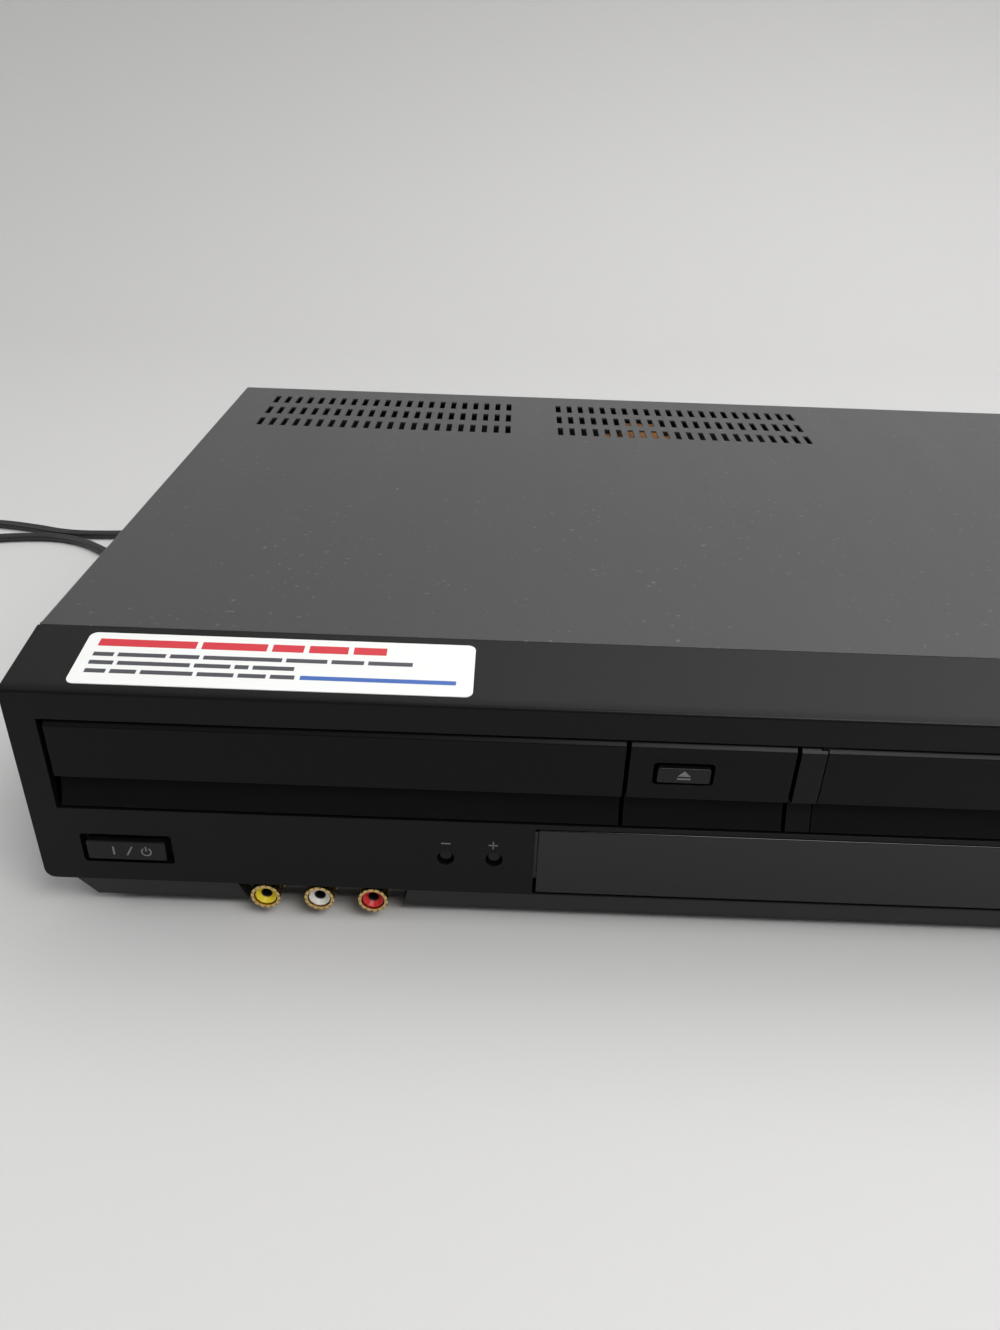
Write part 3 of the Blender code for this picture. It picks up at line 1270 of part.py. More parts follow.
def rear_jack_block(surface):
    """The block behind the rear panel with its two rows of three jacks."""
    margin = REAR_JACK_BLOCK_MARGIN
    rear = REAR_INSIDE - SEAT_GAP
    front = rear - REAR_JACK_BLOCK_DEPTH
    right = REAR_JACK_FIRST + (JACK_COUNT - 1) * JACK_PITCH + margin
    top = REAR_JACK_HEIGHT + (REAR_JACK_ROW_COUNT - 1) * REAR_JACK_ROW_PITCH + margin
    body = block(REAR_JACK_FIRST - margin, right, front, rear, REAR_JACK_HEIGHT - margin, top)
    profile = [
        (0, -REAR_JACK_LENGTH - OVERRUN),
        (JACK_RADIUS, -REAR_JACK_LENGTH - OVERRUN),
        (JACK_RADIUS, 0),
        (JACK_BORE_RADIUS, 0),
        (JACK_HOLE_RADIUS, -JACK_MOUTH_DEPTH),
        (JACK_HOLE_RADIUS, -JACK_HOLE_DEPTH),
        (0, -JACK_HOLE_DEPTH),
    ]
    places = [spot(x, REAR_JACK_END, z) for x, z in rear_jack_places()]
    barrels = [turned(profile, place, "Y", ROD_SIDES_COUNT) for place in places]
    piece("rear_jack_block", surface, [body], ((ADD, barrels),))


def main_board(surface):
    """The signal board under the disc loader, with its larger chips."""
    left, right, front, rear = main_board_edges()
    board = block(left, right, front, rear, BOARD_BOTTOM, BOARD_TOP)
    chips = []
    half = CHIP_SIZE / 2
    base, top = BOARD_TOP - SEAT_GAP, BOARD_TOP + CHIP_HEIGHT
    for number in range(CHIP_COUNT):
        x = (left + right) / 2 + (-1) ** number * CHIP_SIZE
        y = front + CHIP_SIZE + number * CHIP_PITCH
        chips.append(middle_block(x, half, y - half, y + half, base, top))
    piece("main_board", surface, [board], ((ADD, chips),))


def power_board(surface):
    """The power supply's board with its capacitors and heat sink."""
    left, right, front, rear = power_board_edges()
    board = block(left, right, front, rear, BOARD_BOTTOM, BOARD_TOP)
    base = BOARD_TOP - SEAT_GAP
    parts = []
    for number in range(CAPACITOR_COUNT):
        x = left + 2 * CAPACITOR_RADIUS
        y = front + 2 * CAPACITOR_RADIUS + number * CAPACITOR_PITCH
        parts.append(rod(spot(x, y, base), "Z", CAPACITOR_HEIGHT, CAPACITOR_RADIUS))
    x = right - CAPACITOR_RADIUS
    y = front + 2 * CAPACITOR_RADIUS
    top = BOARD_TOP + HEAT_SINK_HEIGHT
    parts.append(middle_block(x, HEAT_SINK_THICKNESS / 2, y, y + HEAT_SINK_LENGTH, base, top))
    piece("power_board", surface, [board], ((ADD, parts),))


def transformer(surface):
    """The mains transformer: an upright iron core with its taped winding standing out of it."""
    right = power_board_edges()[1]
    back = REAR_INSIDE - TRANSFORMER_REAR_MARGIN
    front = back - TRANSFORMER_LENGTH
    centre = right - TRANSFORMER_WIDTH / 2 - POWER_BOARD_MARGIN
    bottom = BOARD_TOP + SEAT_GAP
    top = bottom + TRANSFORMER_HEIGHT
    yoke = TRANSFORMER_YOKE
    core = middle_block(centre, TRANSFORMER_CORE_WIDTH / 2, front, back, bottom, top)
    low, high = bottom + yoke, top - yoke / 2
    front, back = front + yoke / 2, back - yoke / 2
    winding = middle_block(centre, TRANSFORMER_WIDTH / 2, front, back, low, high)
    piece("transformer", surface, [core], ((ADD, [winding]),))


def loader_block(low, high, front, rear, bottom, top):
    """A box given from the middle line of the disc loader."""
    return block(LOADER_CENTRE + low, LOADER_CENTRE + high, front, rear, bottom, top)


def both_sides(inner, outer, front, rear, bottom, top):
    """The same box on the left and on the right of the disc loader's middle line."""
    return [
        loader_block(-outer, -inner, front, rear, bottom, top),
        loader_block(inner, outer, front, rear, bottom, top),
    ]


def loader_frame(surface):
    """The loader's frame: walls, rails for the tray, a floor at the front for its drive, and legs."""
    half = LOADER_WIDTH / 2
    inside = half - LOADER_WALL
    front, rear = LOADER_FRONT, LOADER_FRONT + LOADER_LENGTH
    outer = loader_block(-half, half, front, rear, LOADER_BOTTOM, LOADER_TOP)
    low, high = LOADER_BOTTOM - OVERRUN, LOADER_TOP + OVERRUN
    hollow = loader_block(-inside, inside, front - OVERRUN, rear - LOADER_WALL, low, high)
    bond = LOADER_WALL / 2
    side, start, end = inside + bond, inside - RAIL_WIDTH, rear - bond
    rails = both_sides(start, side, front, end, RAIL_TOP - RAIL_THICKNESS, RAIL_TOP)
    tabs = []
    base = TRAY_TOP + SEAT_GAP
    for y in (front + OVERRUN, front + OVERRUN + TAB_PITCH):
        tabs += both_sides(inside - TAB_REACH, side, y, y + TAB_LENGTH, base, base + TAB_THICKNESS)
    pivot = TRAVERSE_TOP - TRAVERSE_THICKNESS / 2
    low, high = pivot - LUG_HEIGHT / 2, pivot + LUG_HEIGHT / 2 - LUG_HOLE_RADIUS
    start, near = TRAVERSE_WIDTH / 2 + TRAVERSE_PIN_RADIUS, TRAVERSE_AXIS - LUG_LENGTH / 2
    lugs = both_sides(start, side, near, near + LUG_LENGTH, low, high)
    base = POCKET_FLOOR - POCKET_THICKNESS
    floor = loader_block(-side, side, front, front + POCKET_LENGTH, base, POCKET_FLOOR)
    legs = []
    start, end = half - LOADER_LEG_INSET - LOADER_LEG, half - LOADER_LEG_INSET
    for y in (LOADER_LEG_FRONT, rear - LOADER_LEG):
        legs += both_sides(start, end, y, y + LOADER_LEG, PAN_TOP + SEAT_GAP, LOADER_BOTTOM + bond)
    base = POCKET_FLOOR - POCKET_THICKNESS / 2
    place = spot(LOADER_CENTRE + GEAR_X, GEAR_CENTRE, base)
    pin = rod(place, "Z", TRAY_BOTTOM - SEAT_GAP - base, GEAR_PIN_RADIUS)
    start = spot(LOADER_CENTRE + GEAR_X, PINION_CENTRE, base - OVERRUN)
    holes = [rod(start, "Z", 2 * OVERRUN + POCKET_THICKNESS, MOTOR_HOLE_RADIUS)]
    for side in (-1, 1):
        start = spot(LOADER_CENTRE + side * TRAVERSE_WIDTH / 2, TRAVERSE_AXIS, pivot)
        holes.append(rod(start, "X", side * (TRAVERSE_PIN_MARGIN + OVERRUN), LUG_HOLE_RADIUS))
    steps = (
        (CUT, [hollow]),
        (ADD, rails + lugs),
        (ADD, tabs),
        (ADD, [floor]),
        (ADD, legs),
        (ADD, [pin]),
        (CUT, holes),
    )
    piece("loader_frame", surface, [outer], steps)


def disc_tray(surface):
    """The tray: two disc recesses, a slot for the pickup that runs out at its back, and a rack."""
    half = TRAY_WIDTH / 2
    front, rear = TRAY_START, TRAY_START + TRAY_LENGTH
    plate = loader_block(-half, half, front, rear, TRAY_BOTTOM, TRAY_TOP)
    steps = [(ADD, [prism(rack_outline(), "Z", GEAR_BOTTOM, TRAY_BOTTOM + SEAT_GAP)])]
    for radius, depth in ((DISC_RECESS_RADIUS, DISC_RECESS_DEPTH), (SMALL_DISC_RADIUS, SMALL_DISC_DEPTH)):
        start = spot(LOADER_CENTRE, DISC_CENTRE, TRAY_TOP - depth)
        steps.append((CUT, [rod(start, "Z", depth + OVERRUN, radius, DISC_SIDES_COUNT)]))
    reach = TRAY_SLOT_WIDTH / 2
    low = TRAY_BOTTOM - OVERRUN
    slot = loader_block(-reach, reach, DISC_CENTRE, rear + OVERRUN, low, TRAY_TOP + OVERRUN)
    start = spot(LOADER_CENTRE, DISC_CENTRE, low)
    bore = rod(start, "Z", TRAY_THICKNESS + 2 * OVERRUN, reach + SEAT_GAP, DISC_SIDES_COUNT)
    steps += [(CUT, [slot]), (CUT, [bore])]
    origin = spot(LOADER_CENTRE, front, TRAY_BOTTOM)
    piece("disc_tray", surface, [plate], steps, origin=origin)


def tooth_pitch():
    """The distance between teeth along the pitch line."""
    return math.tau * GEAR_PITCH_RADIUS / GEAR_COUNT


def rack_outline():
    """The rack under the tray: teeth towards the drive gear, phased so that it meshes at rest."""
    pitch = tooth_pitch()
    x_pitch = at_x(LOADER_CENTRE - RACK_OFFSET)
    root, tip = x_pitch + TOOTH_DEDENDUM, x_pitch - TOOTH_ADDENDUM
    half_root = TOOTH_THICKNESS / 2 + TOOTH_TAPER / 2
    half_tip = TOOTH_THICKNESS / 2 - TOOTH_TAPER / 2
    start, end = RACK_FRONT, TRAY_START + TRAY_LENGTH - OVERRUN
    before = math.floor((GEAR_CENTRE - start) / pitch - 1)
    after = math.floor((end - GEAR_CENTRE) / pitch - 1)
    outline = [(root + RACK_BACK, at_y(end)), (root + RACK_BACK, at_y(start)), (root, at_y(start))]
    for number in range(-before, after + 1):
        y = at_y(GEAR_CENTRE + (number + 1 / 2) * pitch)
        outline += [
            (root, y - half_root),
            (tip, y - half_tip),
            (tip, y + half_tip),
            (root, y + half_root),
        ]
    outline.append((root, at_y(end)))
    return outline


def gear_outline(centre, count, pitch_radius, first):
    """A gear's teeth round its centre, one of them at the first angle."""
    outline = []
    root, tip = pitch_radius - TOOTH_DEDENDUM, pitch_radius + TOOTH_ADDENDUM
    half_root = (TOOTH_THICKNESS + TOOTH_TAPER) / 2 / root
    half_tip = (TOOTH_THICKNESS - TOOTH_TAPER) / 2 / tip
    for number in range(count):
        middle = first + math.tau * number / count
        for radius, turn in ((root, -half_root), (tip, -half_tip), (tip, half_tip), (root, half_root)):
            angle = middle + turn
            outline.append((centre.x + radius * math.cos(angle), centre.y + radius * math.sin(angle)))
    return outline


def drive_gear(surface):
    """The gear that drives the tray, on a hub that stands on the loader's floor."""
    axis = spot(LOADER_CENTRE + GEAR_X, GEAR_CENTRE, POCKET_FLOOR + SEAT_GAP)
    outline = gear_outline(axis, GEAR_COUNT, GEAR_PITCH_RADIUS, 0)
    teeth = prism(outline, "Z", GEAR_BOTTOM, GEAR_BOTTOM + GEAR_HEIGHT)
    hub = rod(axis, "Z", GEAR_BOTTOM - axis.z + SEAT_GAP, GEAR_HUB_RADIUS)
    start = axis - Vector((0, 0, OVERRUN))
    bore = rod(start, "Z", GEAR_BOTTOM + GEAR_HEIGHT - axis.z + 2 * OVERRUN, GEAR_BORE_RADIUS)
    piece("drive_gear", surface, [teeth], ((ADD, [hub]), (CUT, [bore])), origin=axis)


def loading_motor(metal, plastic):
    """The motor under the loader's floor and the pinion on its shaft, which drives the gear."""
    place = spot(LOADER_CENTRE + GEAR_X, PINION_CENTRE, 0)
    top = POCKET_FLOOR - POCKET_THICKNESS - SEAT_GAP
    end = GEAR_BOTTOM + GEAR_HEIGHT
    profile = [
        (0, top - LOADING_MOTOR_HEIGHT),
        (LOADING_MOTOR_RADIUS, top - LOADING_MOTOR_HEIGHT),
        (LOADING_MOTOR_RADIUS, top),
        (MOTOR_SHAFT_RADIUS, top),
        (MOTOR_SHAFT_RADIUS, end),
        (0, end),
    ]
    piece("loading_motor", metal, [turned(profile, place, "Z", ROD_SIDES_COUNT)], smooth=True)
    outline = gear_outline(place, PINION_COUNT, PINION_PITCH_RADIUS, -math.tau / 4)
    base = POCKET_FLOOR + SEAT_GAP
    teeth = prism(outline, "Z", base, end)
    start = place + Vector((0, 0, base - OVERRUN))
    bore = rod(start, "Z", end - base + 2 * OVERRUN, MOTOR_SHAFT_RADIUS + SEAT_GAP)
    origin = place + Vector((0, 0, base))
    piece("motor_pinion", plastic, [teeth], ((CUT, [bore]),), origin=origin)


def clamp(bridge_surface, puck_surface):
    """The bridge over the disc and the puck that hangs in its hole."""
    half = LOADER_WIDTH / 2
    front, rear = DISC_CENTRE - BRIDGE_LENGTH / 2, DISC_CENTRE + BRIDGE_LENGTH / 2
    plate = loader_block(-half, half, front, rear, BRIDGE_BOTTOM, BRIDGE_TOP)
    start = spot(LOADER_CENTRE, DISC_CENTRE, BRIDGE_BOTTOM - OVERRUN)
    hole = rod(start, "Z", BRIDGE_THICKNESS + 2 * OVERRUN, BRIDGE_HOLE_RADIUS, ROUND_SIDES_COUNT)
    piece("clamp_bridge", bridge_surface, [plate], ((CUT, [hole]),))
    low = TRAY_TOP + PUCK_CLEARANCE
    seat = BRIDGE_TOP + SEAT_GAP
    profile = [
        (0, low),
        (PUCK_RADIUS, low),
        (PUCK_RADIUS, seat),
        (PUCK_FLANGE_RADIUS, seat),
        (PUCK_FLANGE_RADIUS, seat + PUCK_FLANGE_THICKNESS),
        (0, seat + PUCK_FLANGE_THICKNESS),
    ]
    place = spot(LOADER_CENTRE, DISC_CENTRE, 0)
    solid = turned(profile, place, "Z", ROUND_SIDES_COUNT)
    origin = spot(LOADER_CENTRE, DISC_CENTRE, low)
    piece("clamp_puck", puck_surface, [solid], origin=origin, smooth=True)


def traverse_frame(surface):
    """The plate that carries motor, rod and pickup, with one moulded rail, and tips on two pins."""
    half = TRAVERSE_WIDTH / 2
    bottom = TRAVERSE_TOP - TRAVERSE_THICKNESS
    rear = TRAVERSE_FRONT + TRAVERSE_LENGTH
    plate = loader_block(-half, half, TRAVERSE_FRONT, rear, bottom, TRAVERSE_TOP)
    pivot = TRAVERSE_TOP - TRAVERSE_THICKNESS / 2
    pins = []
    for side in (-1, 1):
        start = spot(LOADER_CENTRE + side * (half - OVERRUN), TRAVERSE_AXIS, pivot)
        pins.append(rod(start, "X", side * (OVERRUN + TRAVERSE_PIN_MARGIN), TRAVERSE_PIN_RADIUS))
    reach, base, top = ROD_BLOCK_WIDTH / 2, TRAVERSE_TOP - SEAT_GAP, ROD_HEIGHT + ROD_RADIUS
    front_end, rear_start = ROD_FRONT - SEAT_GAP, ROD_FRONT + ROD_LENGTH + SEAT_GAP
    guides = []
    for y in (front_end - ROD_BLOCK_LENGTH, rear_start):
        low, high = ROD_OFFSET - reach, ROD_OFFSET + reach
        guides.append(loader_block(low, high, y, y + ROD_BLOCK_LENGTH, base, top))
    low, high = -ROD_OFFSET - RAIL_BAR_WIDTH / 2, -ROD_OFFSET + RAIL_BAR_WIDTH / 2
    guides.append(loader_block(low, high, ROD_FRONT, ROD_FRONT + ROD_LENGTH, base, ROD_HEIGHT))
    reach = TRAVERSE_WINDOW_WIDTH / 2
    start, end = TRAVERSE_WINDOW_FRONT, TRAVERSE_WINDOW_FRONT + TRAVERSE_WINDOW_LENGTH
    window = loader_block(-reach, reach, start, end, bottom - OVERRUN, TRAVERSE_TOP + OVERRUN)
    origin = spot(LOADER_CENTRE, TRAVERSE_AXIS, pivot)
    steps = ((ADD, pins), (ADD, guides), (CUT, [window]))
    piece("traverse_frame", surface, [plate], steps, origin=origin)


def spindle(motor_surface, table_surface):
    """The disc motor and the turntable on it."""
    place = spot(LOADER_CENTRE, DISC_CENTRE, TRAVERSE_TOP + SEAT_GAP)
    solid = rod(place, "Z", SPINDLE_MOTOR_HEIGHT, SPINDLE_MOTOR_RADIUS, ROUND_SIDES_COUNT)
    piece("spindle_motor", motor_surface, [solid], smooth=True)
    top = TURNTABLE_THICKNESS
    profile = [
        (0, 0),
        (TURNTABLE_RADIUS, 0),
        (TURNTABLE_RADIUS, top),
        (HUB_RADIUS, top),
        (HUB_TOP_RADIUS, top + HUB_HEIGHT),
        (0, top + HUB_HEIGHT),
    ]
    origin = spot(LOADER_CENTRE, DISC_CENTRE, TURNTABLE_BOTTOM)
    solid = turned(profile, origin, "Z", ROUND_SIDES_COUNT)
    piece("turntable", table_surface, [solid], origin=origin, smooth=True)


def pickup(metal, sled_surface):
    """The steel rod and the sled with its lens that slides along it and along the frame's rail."""
    start = spot(LOADER_CENTRE + ROD_OFFSET, ROD_FRONT, ROD_HEIGHT)
    piece("guide_rod", metal, [rod(start, "Y", ROD_LENGTH, ROD_RADIUS)], smooth=True)
    half = SLED_WIDTH / 2
    bottom = ROD_HEIGHT - SLED_HEIGHT / 2
    top = bottom + SLED_HEIGHT
    body = loader_block(-half, half, SLED_FRONT, SLED_FRONT + SLED_LENGTH, bottom, top)
    middle = spot(LOADER_CENTRE, SLED_FRONT + SLED_LENGTH / 2, top - SEAT_GAP)
    lens = rod(middle, "Z", LENS_HEIGHT + SEAT_GAP, LENS_RADIUS)
    front, length = SLED_FRONT - OVERRUN, SLED_LENGTH + 2 * OVERRUN
    bore = rod(spot(LOADER_CENTRE + ROD_OFFSET, front, ROD_HEIGHT), "Y", length, ROD_BORE_RADIUS)
    reach = RAIL_BAR_WIDTH / 2 + SEAT_GAP
    low, high = -ROD_OFFSET - reach, -ROD_OFFSET + reach
    groove = loader_block(low, high, front, front + length, bottom - OVERRUN, ROD_HEIGHT + SEAT_GAP)
    steps = ((ADD, [lens]), (CUT, [bore, groove]))
    piece("pickup_sled", sled_surface, [body], steps, origin=middle)


def deck_block(low, high, front, rear, bottom, top):
    """A box given from the middle line of the cassette deck."""
    return block(DECK_CENTRE + low, DECK_CENTRE + high, front, rear, bottom, top)


def deck_sides(inner, outer, front, rear, bottom, top):
    """The same box on the left and on the right of the cassette deck's middle line."""
    return [
        deck_block(-outer, -inner, front, rear, bottom, top),
        deck_block(inner, outer, front, rear, bottom, top),
    ]


def deck_spot(across, behind, height):
    """A place given from the middle line of the cassette deck."""
    return spot(DECK_CENTRE + across, behind, height)


def guide_slot(side):
    """The slot in the deck plate that one tape guide runs along."""
    start = deck_spot(side * GUIDE_START_X, GUIDE_START_DEPTH, 0)
    along = Vector((side * GUIDE_RUN_X, GUIDE_RUN_DEPTH, 0))
    end = start + along
    across = Vector((-along.y, along.x, 0)).normalized() * GUIDE_SLOT_WIDTH / 2
    corners = [start + across, start - across, end - across, end + across]
    outline = [(corner.x, corner.y) for corner in corners]
    return prism(outline, "Z", DECK_HEIGHT - OVERRUN, DECK_TOP + OVERRUN)


def deck_plate(surface):
    """The steel plate of the cassette deck with its bosses and the audio head."""
    rear = REAR_INSIDE - DECK_REAR_MARGIN
    plate = deck_block(-DECK_HALF, DECK_HALF, DECK_FRONT, rear, DECK_HEIGHT, DECK_TOP)
    base = DECK_TOP - SEAT_GAP
    parts = []
    for side in (-1, 1):
        place = deck_spot(side * REEL_SPACING / 2, REEL_CENTRE, base)
        parts.append(rod(place, "Z", REEL_BOSS_HEIGHT + SEAT_GAP, REEL_BOSS_RADIUS))
    place = deck_spot(PINCH_PIVOT_X, PINCH_PIVOT_DEPTH, base)
    height = PINCH_LIFT + PINCH_ARM_THICKNESS + OVERRUN
    parts.append(rod(place, "Z", height, PINCH_POST_RADIUS))
    place = deck_spot(PINCH_PIVOT_X, PINCH_PIVOT_DEPTH, base)
    collar = rod(place, "Z", PINCH_LIFT, PINCH_ARM_WIDTH / 2)
    low, high = HEAD_X - HEAD_WIDTH / 2, HEAD_X + HEAD_WIDTH / 2
    front, back = HEAD_DEPTH - HEAD_LENGTH / 2, HEAD_DEPTH + HEAD_LENGTH / 2
    parts.append(deck_block(low, high, front, back, base, base + HEAD_HEIGHT))
    start = deck_spot(CAPSTAN_X, CAPSTAN_DEPTH, DECK_HEIGHT - OVERRUN)
    hole = rod(start, "Z", DECK_SHEET + 2 * OVERRUN, CAPSTAN_HOLE_RADIUS)
    slots = [guide_slot(-1), guide_slot(1)]
    steps = ((ADD, parts), (ADD, [collar]), (CUT, [hole]), (CUT, slots))
    piece("deck_plate", surface, [plate], steps)


def cassette_frame(surface):
    """Two upright walls beside the cassette, each with a lip that the carriage runs on, and a strap."""
    bottom = DECK_TOP + SEAT_GAP
    top = BODY_TOP - BRACKET_TOP_DROP
    front, rear = BRACKET_FRONT, BRACKET_FRONT + BRACKET_LENGTH
    walls = deck_sides(BRACKET_INSIDE, DECK_HALF, front, rear, bottom, top)
    inner = BRACKET_INSIDE - BRACKET_LIP
    middle = BRACKET_INSIDE + BRACKET_SHEET / 2
    lip_top = BRACKET_LIP_HEIGHT + BRACKET_LIP_THICKNESS
    lips = deck_sides(inner, middle, front, rear, BRACKET_LIP_HEIGHT, lip_top)
    start = rear - BRACKET_STRAP_LENGTH
    strap = deck_block(-middle, middle, start, rear, top - BRACKET_SHEET, top)
    piece("cassette_frame", surface, [strap], ((ADD, walls), (ADD, lips)))


def holder_pin_depths():
    """How far behind the face the cassette holder's pins are."""
    end = BRACKET_FRONT + CARRIAGE_LENGTH
    return BRACKET_FRONT + HOLDER_PIN_MARGIN, end - HOLDER_PIN_MARGIN


def cassette_carriage(surface):
    """Two sliding plates joined by a bar over the cassette, with upright slots for the holder's pins."""
    front, rear = BRACKET_FRONT, BRACKET_FRONT + CARRIAGE_LENGTH
    inside = CARRIAGE_OUTSIDE - CARRIAGE_SHEET
    walls = deck_sides(inside, CARRIAGE_OUTSIDE, front, rear, CARRIAGE_BOTTOM, CARRIAGE_TOP)
    middle = (front + rear) / 2
    start, end = middle - CARRIAGE_BAR_LENGTH / 2, middle + CARRIAGE_BAR_LENGTH / 2
    reach = inside + CARRIAGE_SHEET / 2
    bar = deck_block(-reach, reach, start, end, CARRIAGE_TOP - CARRIAGE_BAR_THICKNESS, CARRIAGE_TOP)
    slots = []
    clearance = HOLDER_PIN_RADIUS + HOLDER_SLOT_CLEARANCE
    low, high = HOLDER_PIN_HEIGHT - HOLDER_TRAVEL - clearance, HOLDER_PIN_HEIGHT + clearance
    side_start, side_end = inside - OVERRUN, CARRIAGE_OUTSIDE + OVERRUN
    for y in holder_pin_depths():
        slots += deck_sides(side_start, side_end, y - clearance, y + clearance, low, high)
    origin = deck_spot(0, middle, CARRIAGE_BOTTOM)
    steps = ((ADD, walls), (CUT, slots))
    piece("cassette_carriage", surface, [bar], steps, origin=origin)


def cassette_holder(surface):
    """The cage that a cassette slides into: a top, two sides and a ledge along each side."""
    half = HOLDER_WIDTH / 2
    inside = half - HOLDER_SHEET
    front, rear = BRACKET_FRONT, BRACKET_FRONT + CARRIAGE_LENGTH
    bottom = LEDGE_TOP - HOLDER_SHEET
    outer = deck_block(-half, half, front, rear, bottom, HOLDER_TOP)
    near, far = front - OVERRUN, rear + OVERRUN
    bay = deck_block(-inside, inside, near, far, LEDGE_TOP, HOLDER_TOP - HOLDER_SHEET)
    reach = inside - HOLDER_LEDGE
    floor = deck_block(-reach, reach, near, far, bottom - OVERRUN, LEDGE_TOP + OVERRUN)
    pins = []
    start = half - HOLDER_SHEET / 2
    length = CARRIAGE_OUTSIDE - SEAT_GAP - start
    for y in holder_pin_depths():
        for side in (-1, 1):
            place = deck_spot(side * start, y, HOLDER_PIN_HEIGHT)
            pins.append(rod(place, "X", side * length, HOLDER_PIN_RADIUS, ROD_SIDES_COUNT // 2))
    origin = deck_spot(0, (front + rear) / 2, LEDGE_TOP)
    steps = ((CUT, [bay]), (CUT, [floor]), (ADD, pins))
    piece("cassette_holder", surface, [outer], steps, origin=origin)


def drum(lower_surface, upper_surface):
    """The tilted head drum: a fixed lower half on its base and a turning upper half."""
    tilt = Matrix.Rotation(math.radians(-DRUM_TILT_DEG), 4, "X")
    centre = deck_spot(0, DRUM_CENTRE, DRUM_START)

    def tilted(solid):
        points, faces = solid
        return [tuple(centre + tilt @ Vector(p)) for p in points], faces

    half = DRUM_BASE_SIZE / 2
    bottom = DECK_TOP + SEAT_GAP
    front, rear = DRUM_CENTRE - half, DRUM_CENTRE + half
    base = deck_block(-half, half, front, rear, bottom, bottom + DRUM_BASE_HEIGHT)
    origin = Vector((0, 0, 0))
    lower = tilted(rod(origin, "Z", DRUM_LOWER_HEIGHT, DRUM_RADIUS, DISC_SIDES_COUNT))
    piece("lower_drum", lower_surface, [base], ((ADD, [lower]),))
    start = DRUM_LOWER_HEIGHT + SEAT_GAP
    end = start + DRUM_UPPER_HEIGHT
    profile = [
        (0, start),
        (DRUM_RADIUS, start),
        (DRUM_RADIUS, end),
        (DRUM_CAP_RADIUS, end),
        (DRUM_CAP_RADIUS, end + DRUM_CAP_HEIGHT),
        (0, end + DRUM_CAP_HEIGHT),
    ]
    upper = tilted(turned(profile, origin, "Z", DISC_SIDES_COUNT))
    piece("upper_drum", upper_surface, [upper], origin=centre, smooth=True)


def capstan_flywheel(surface):
    """The capstan's shaft and, below the deck plate, its flywheel."""
    top = DECK_HEIGHT - FLYWHEEL_DROP
    bottom = top - FLYWHEEL_HEIGHT
    end = DECK_TOP + CAPSTAN_HEIGHT
    profile = [
        (0, bottom),
        (FLYWHEEL_RADIUS, bottom),
        (FLYWHEEL_RADIUS, top),
        (CAPSTAN_RADIUS, top),
        (CAPSTAN_RADIUS, end),
        (0, end),
    ]
    place = deck_spot(CAPSTAN_X, CAPSTAN_DEPTH, 0)
    origin = deck_spot(CAPSTAN_X, CAPSTAN_DEPTH, DECK_TOP)
    solid = turned(profile, place, "Z", ROUND_SIDES_COUNT)
    piece("capstan_flywheel", surface, [solid], origin=origin, smooth=True)


def pinch_arm(surface):
    """The arm with the rubber roller that presses the tape to the capstan."""
    pivot = deck_spot(PINCH_PIVOT_X, PINCH_PIVOT_DEPTH, DECK_TOP + PINCH_LIFT)
    angle = math.radians(PINCH_REST_DEG)
    along = Vector((math.cos(angle), math.sin(angle), 0))
    across = Vector((-along.y, along.x, 0)) * PINCH_ARM_WIDTH / 2
    roller = pivot + along * PINCH_ARM_LENGTH
    corners = [pivot + across, pivot - across, roller - across, roller + across]
    arm = prism([(c.x, c.y) for c in corners], "Z", pivot.z, pivot.z + PINCH_ARM_THICKNESS)
    hub = rod(pivot, "Z", PINCH_ARM_THICKNESS + OVERRUN / 2, PINCH_ARM_WIDTH / 2)
    start = roller - Vector((0, 0, OVERRUN / 2))
    wheel = rod(start, "Z", PINCH_ROLLER_HEIGHT, PINCH_ROLLER_RADIUS)
    start = pivot - Vector((0, 0, OVERRUN))
    bore = rod(start, "Z", PINCH_ARM_THICKNESS + 3 * OVERRUN, PINCH_BORE_RADIUS)
    steps = ((ADD, [hub]), (ADD, [wheel]), (CUT, [bore]))
    piece("pinch_arm", surface, [arm], steps, origin=pivot)


def reel_tables(surface):
    """The two turning reel tables, each over its boss."""
    top = REEL_THICKNESS
    profile = [
        (0, 0),
        (REEL_RADIUS, 0),
        (REEL_RADIUS, top),
        (REEL_SPINDLE_RADIUS, top),
        (REEL_SPINDLE_RADIUS, top + REEL_SPINDLE_HEIGHT * 2 / 3),
        (REEL_TIP_RADIUS, top + REEL_SPINDLE_HEIGHT),
        (0, top + REEL_SPINDLE_HEIGHT),
    ]
    height = DECK_TOP + REEL_BOSS_HEIGHT + SEAT_GAP
    for name, side in (("supply_reel_table", -1), ("takeup_reel_table", 1)):
        origin = deck_spot(side * REEL_SPACING / 2, REEL_CENTRE, height)
        solid = turned(profile, origin, "Z", ROUND_SIDES_COUNT)
        piece(name, surface, [solid], origin=origin, smooth=True)


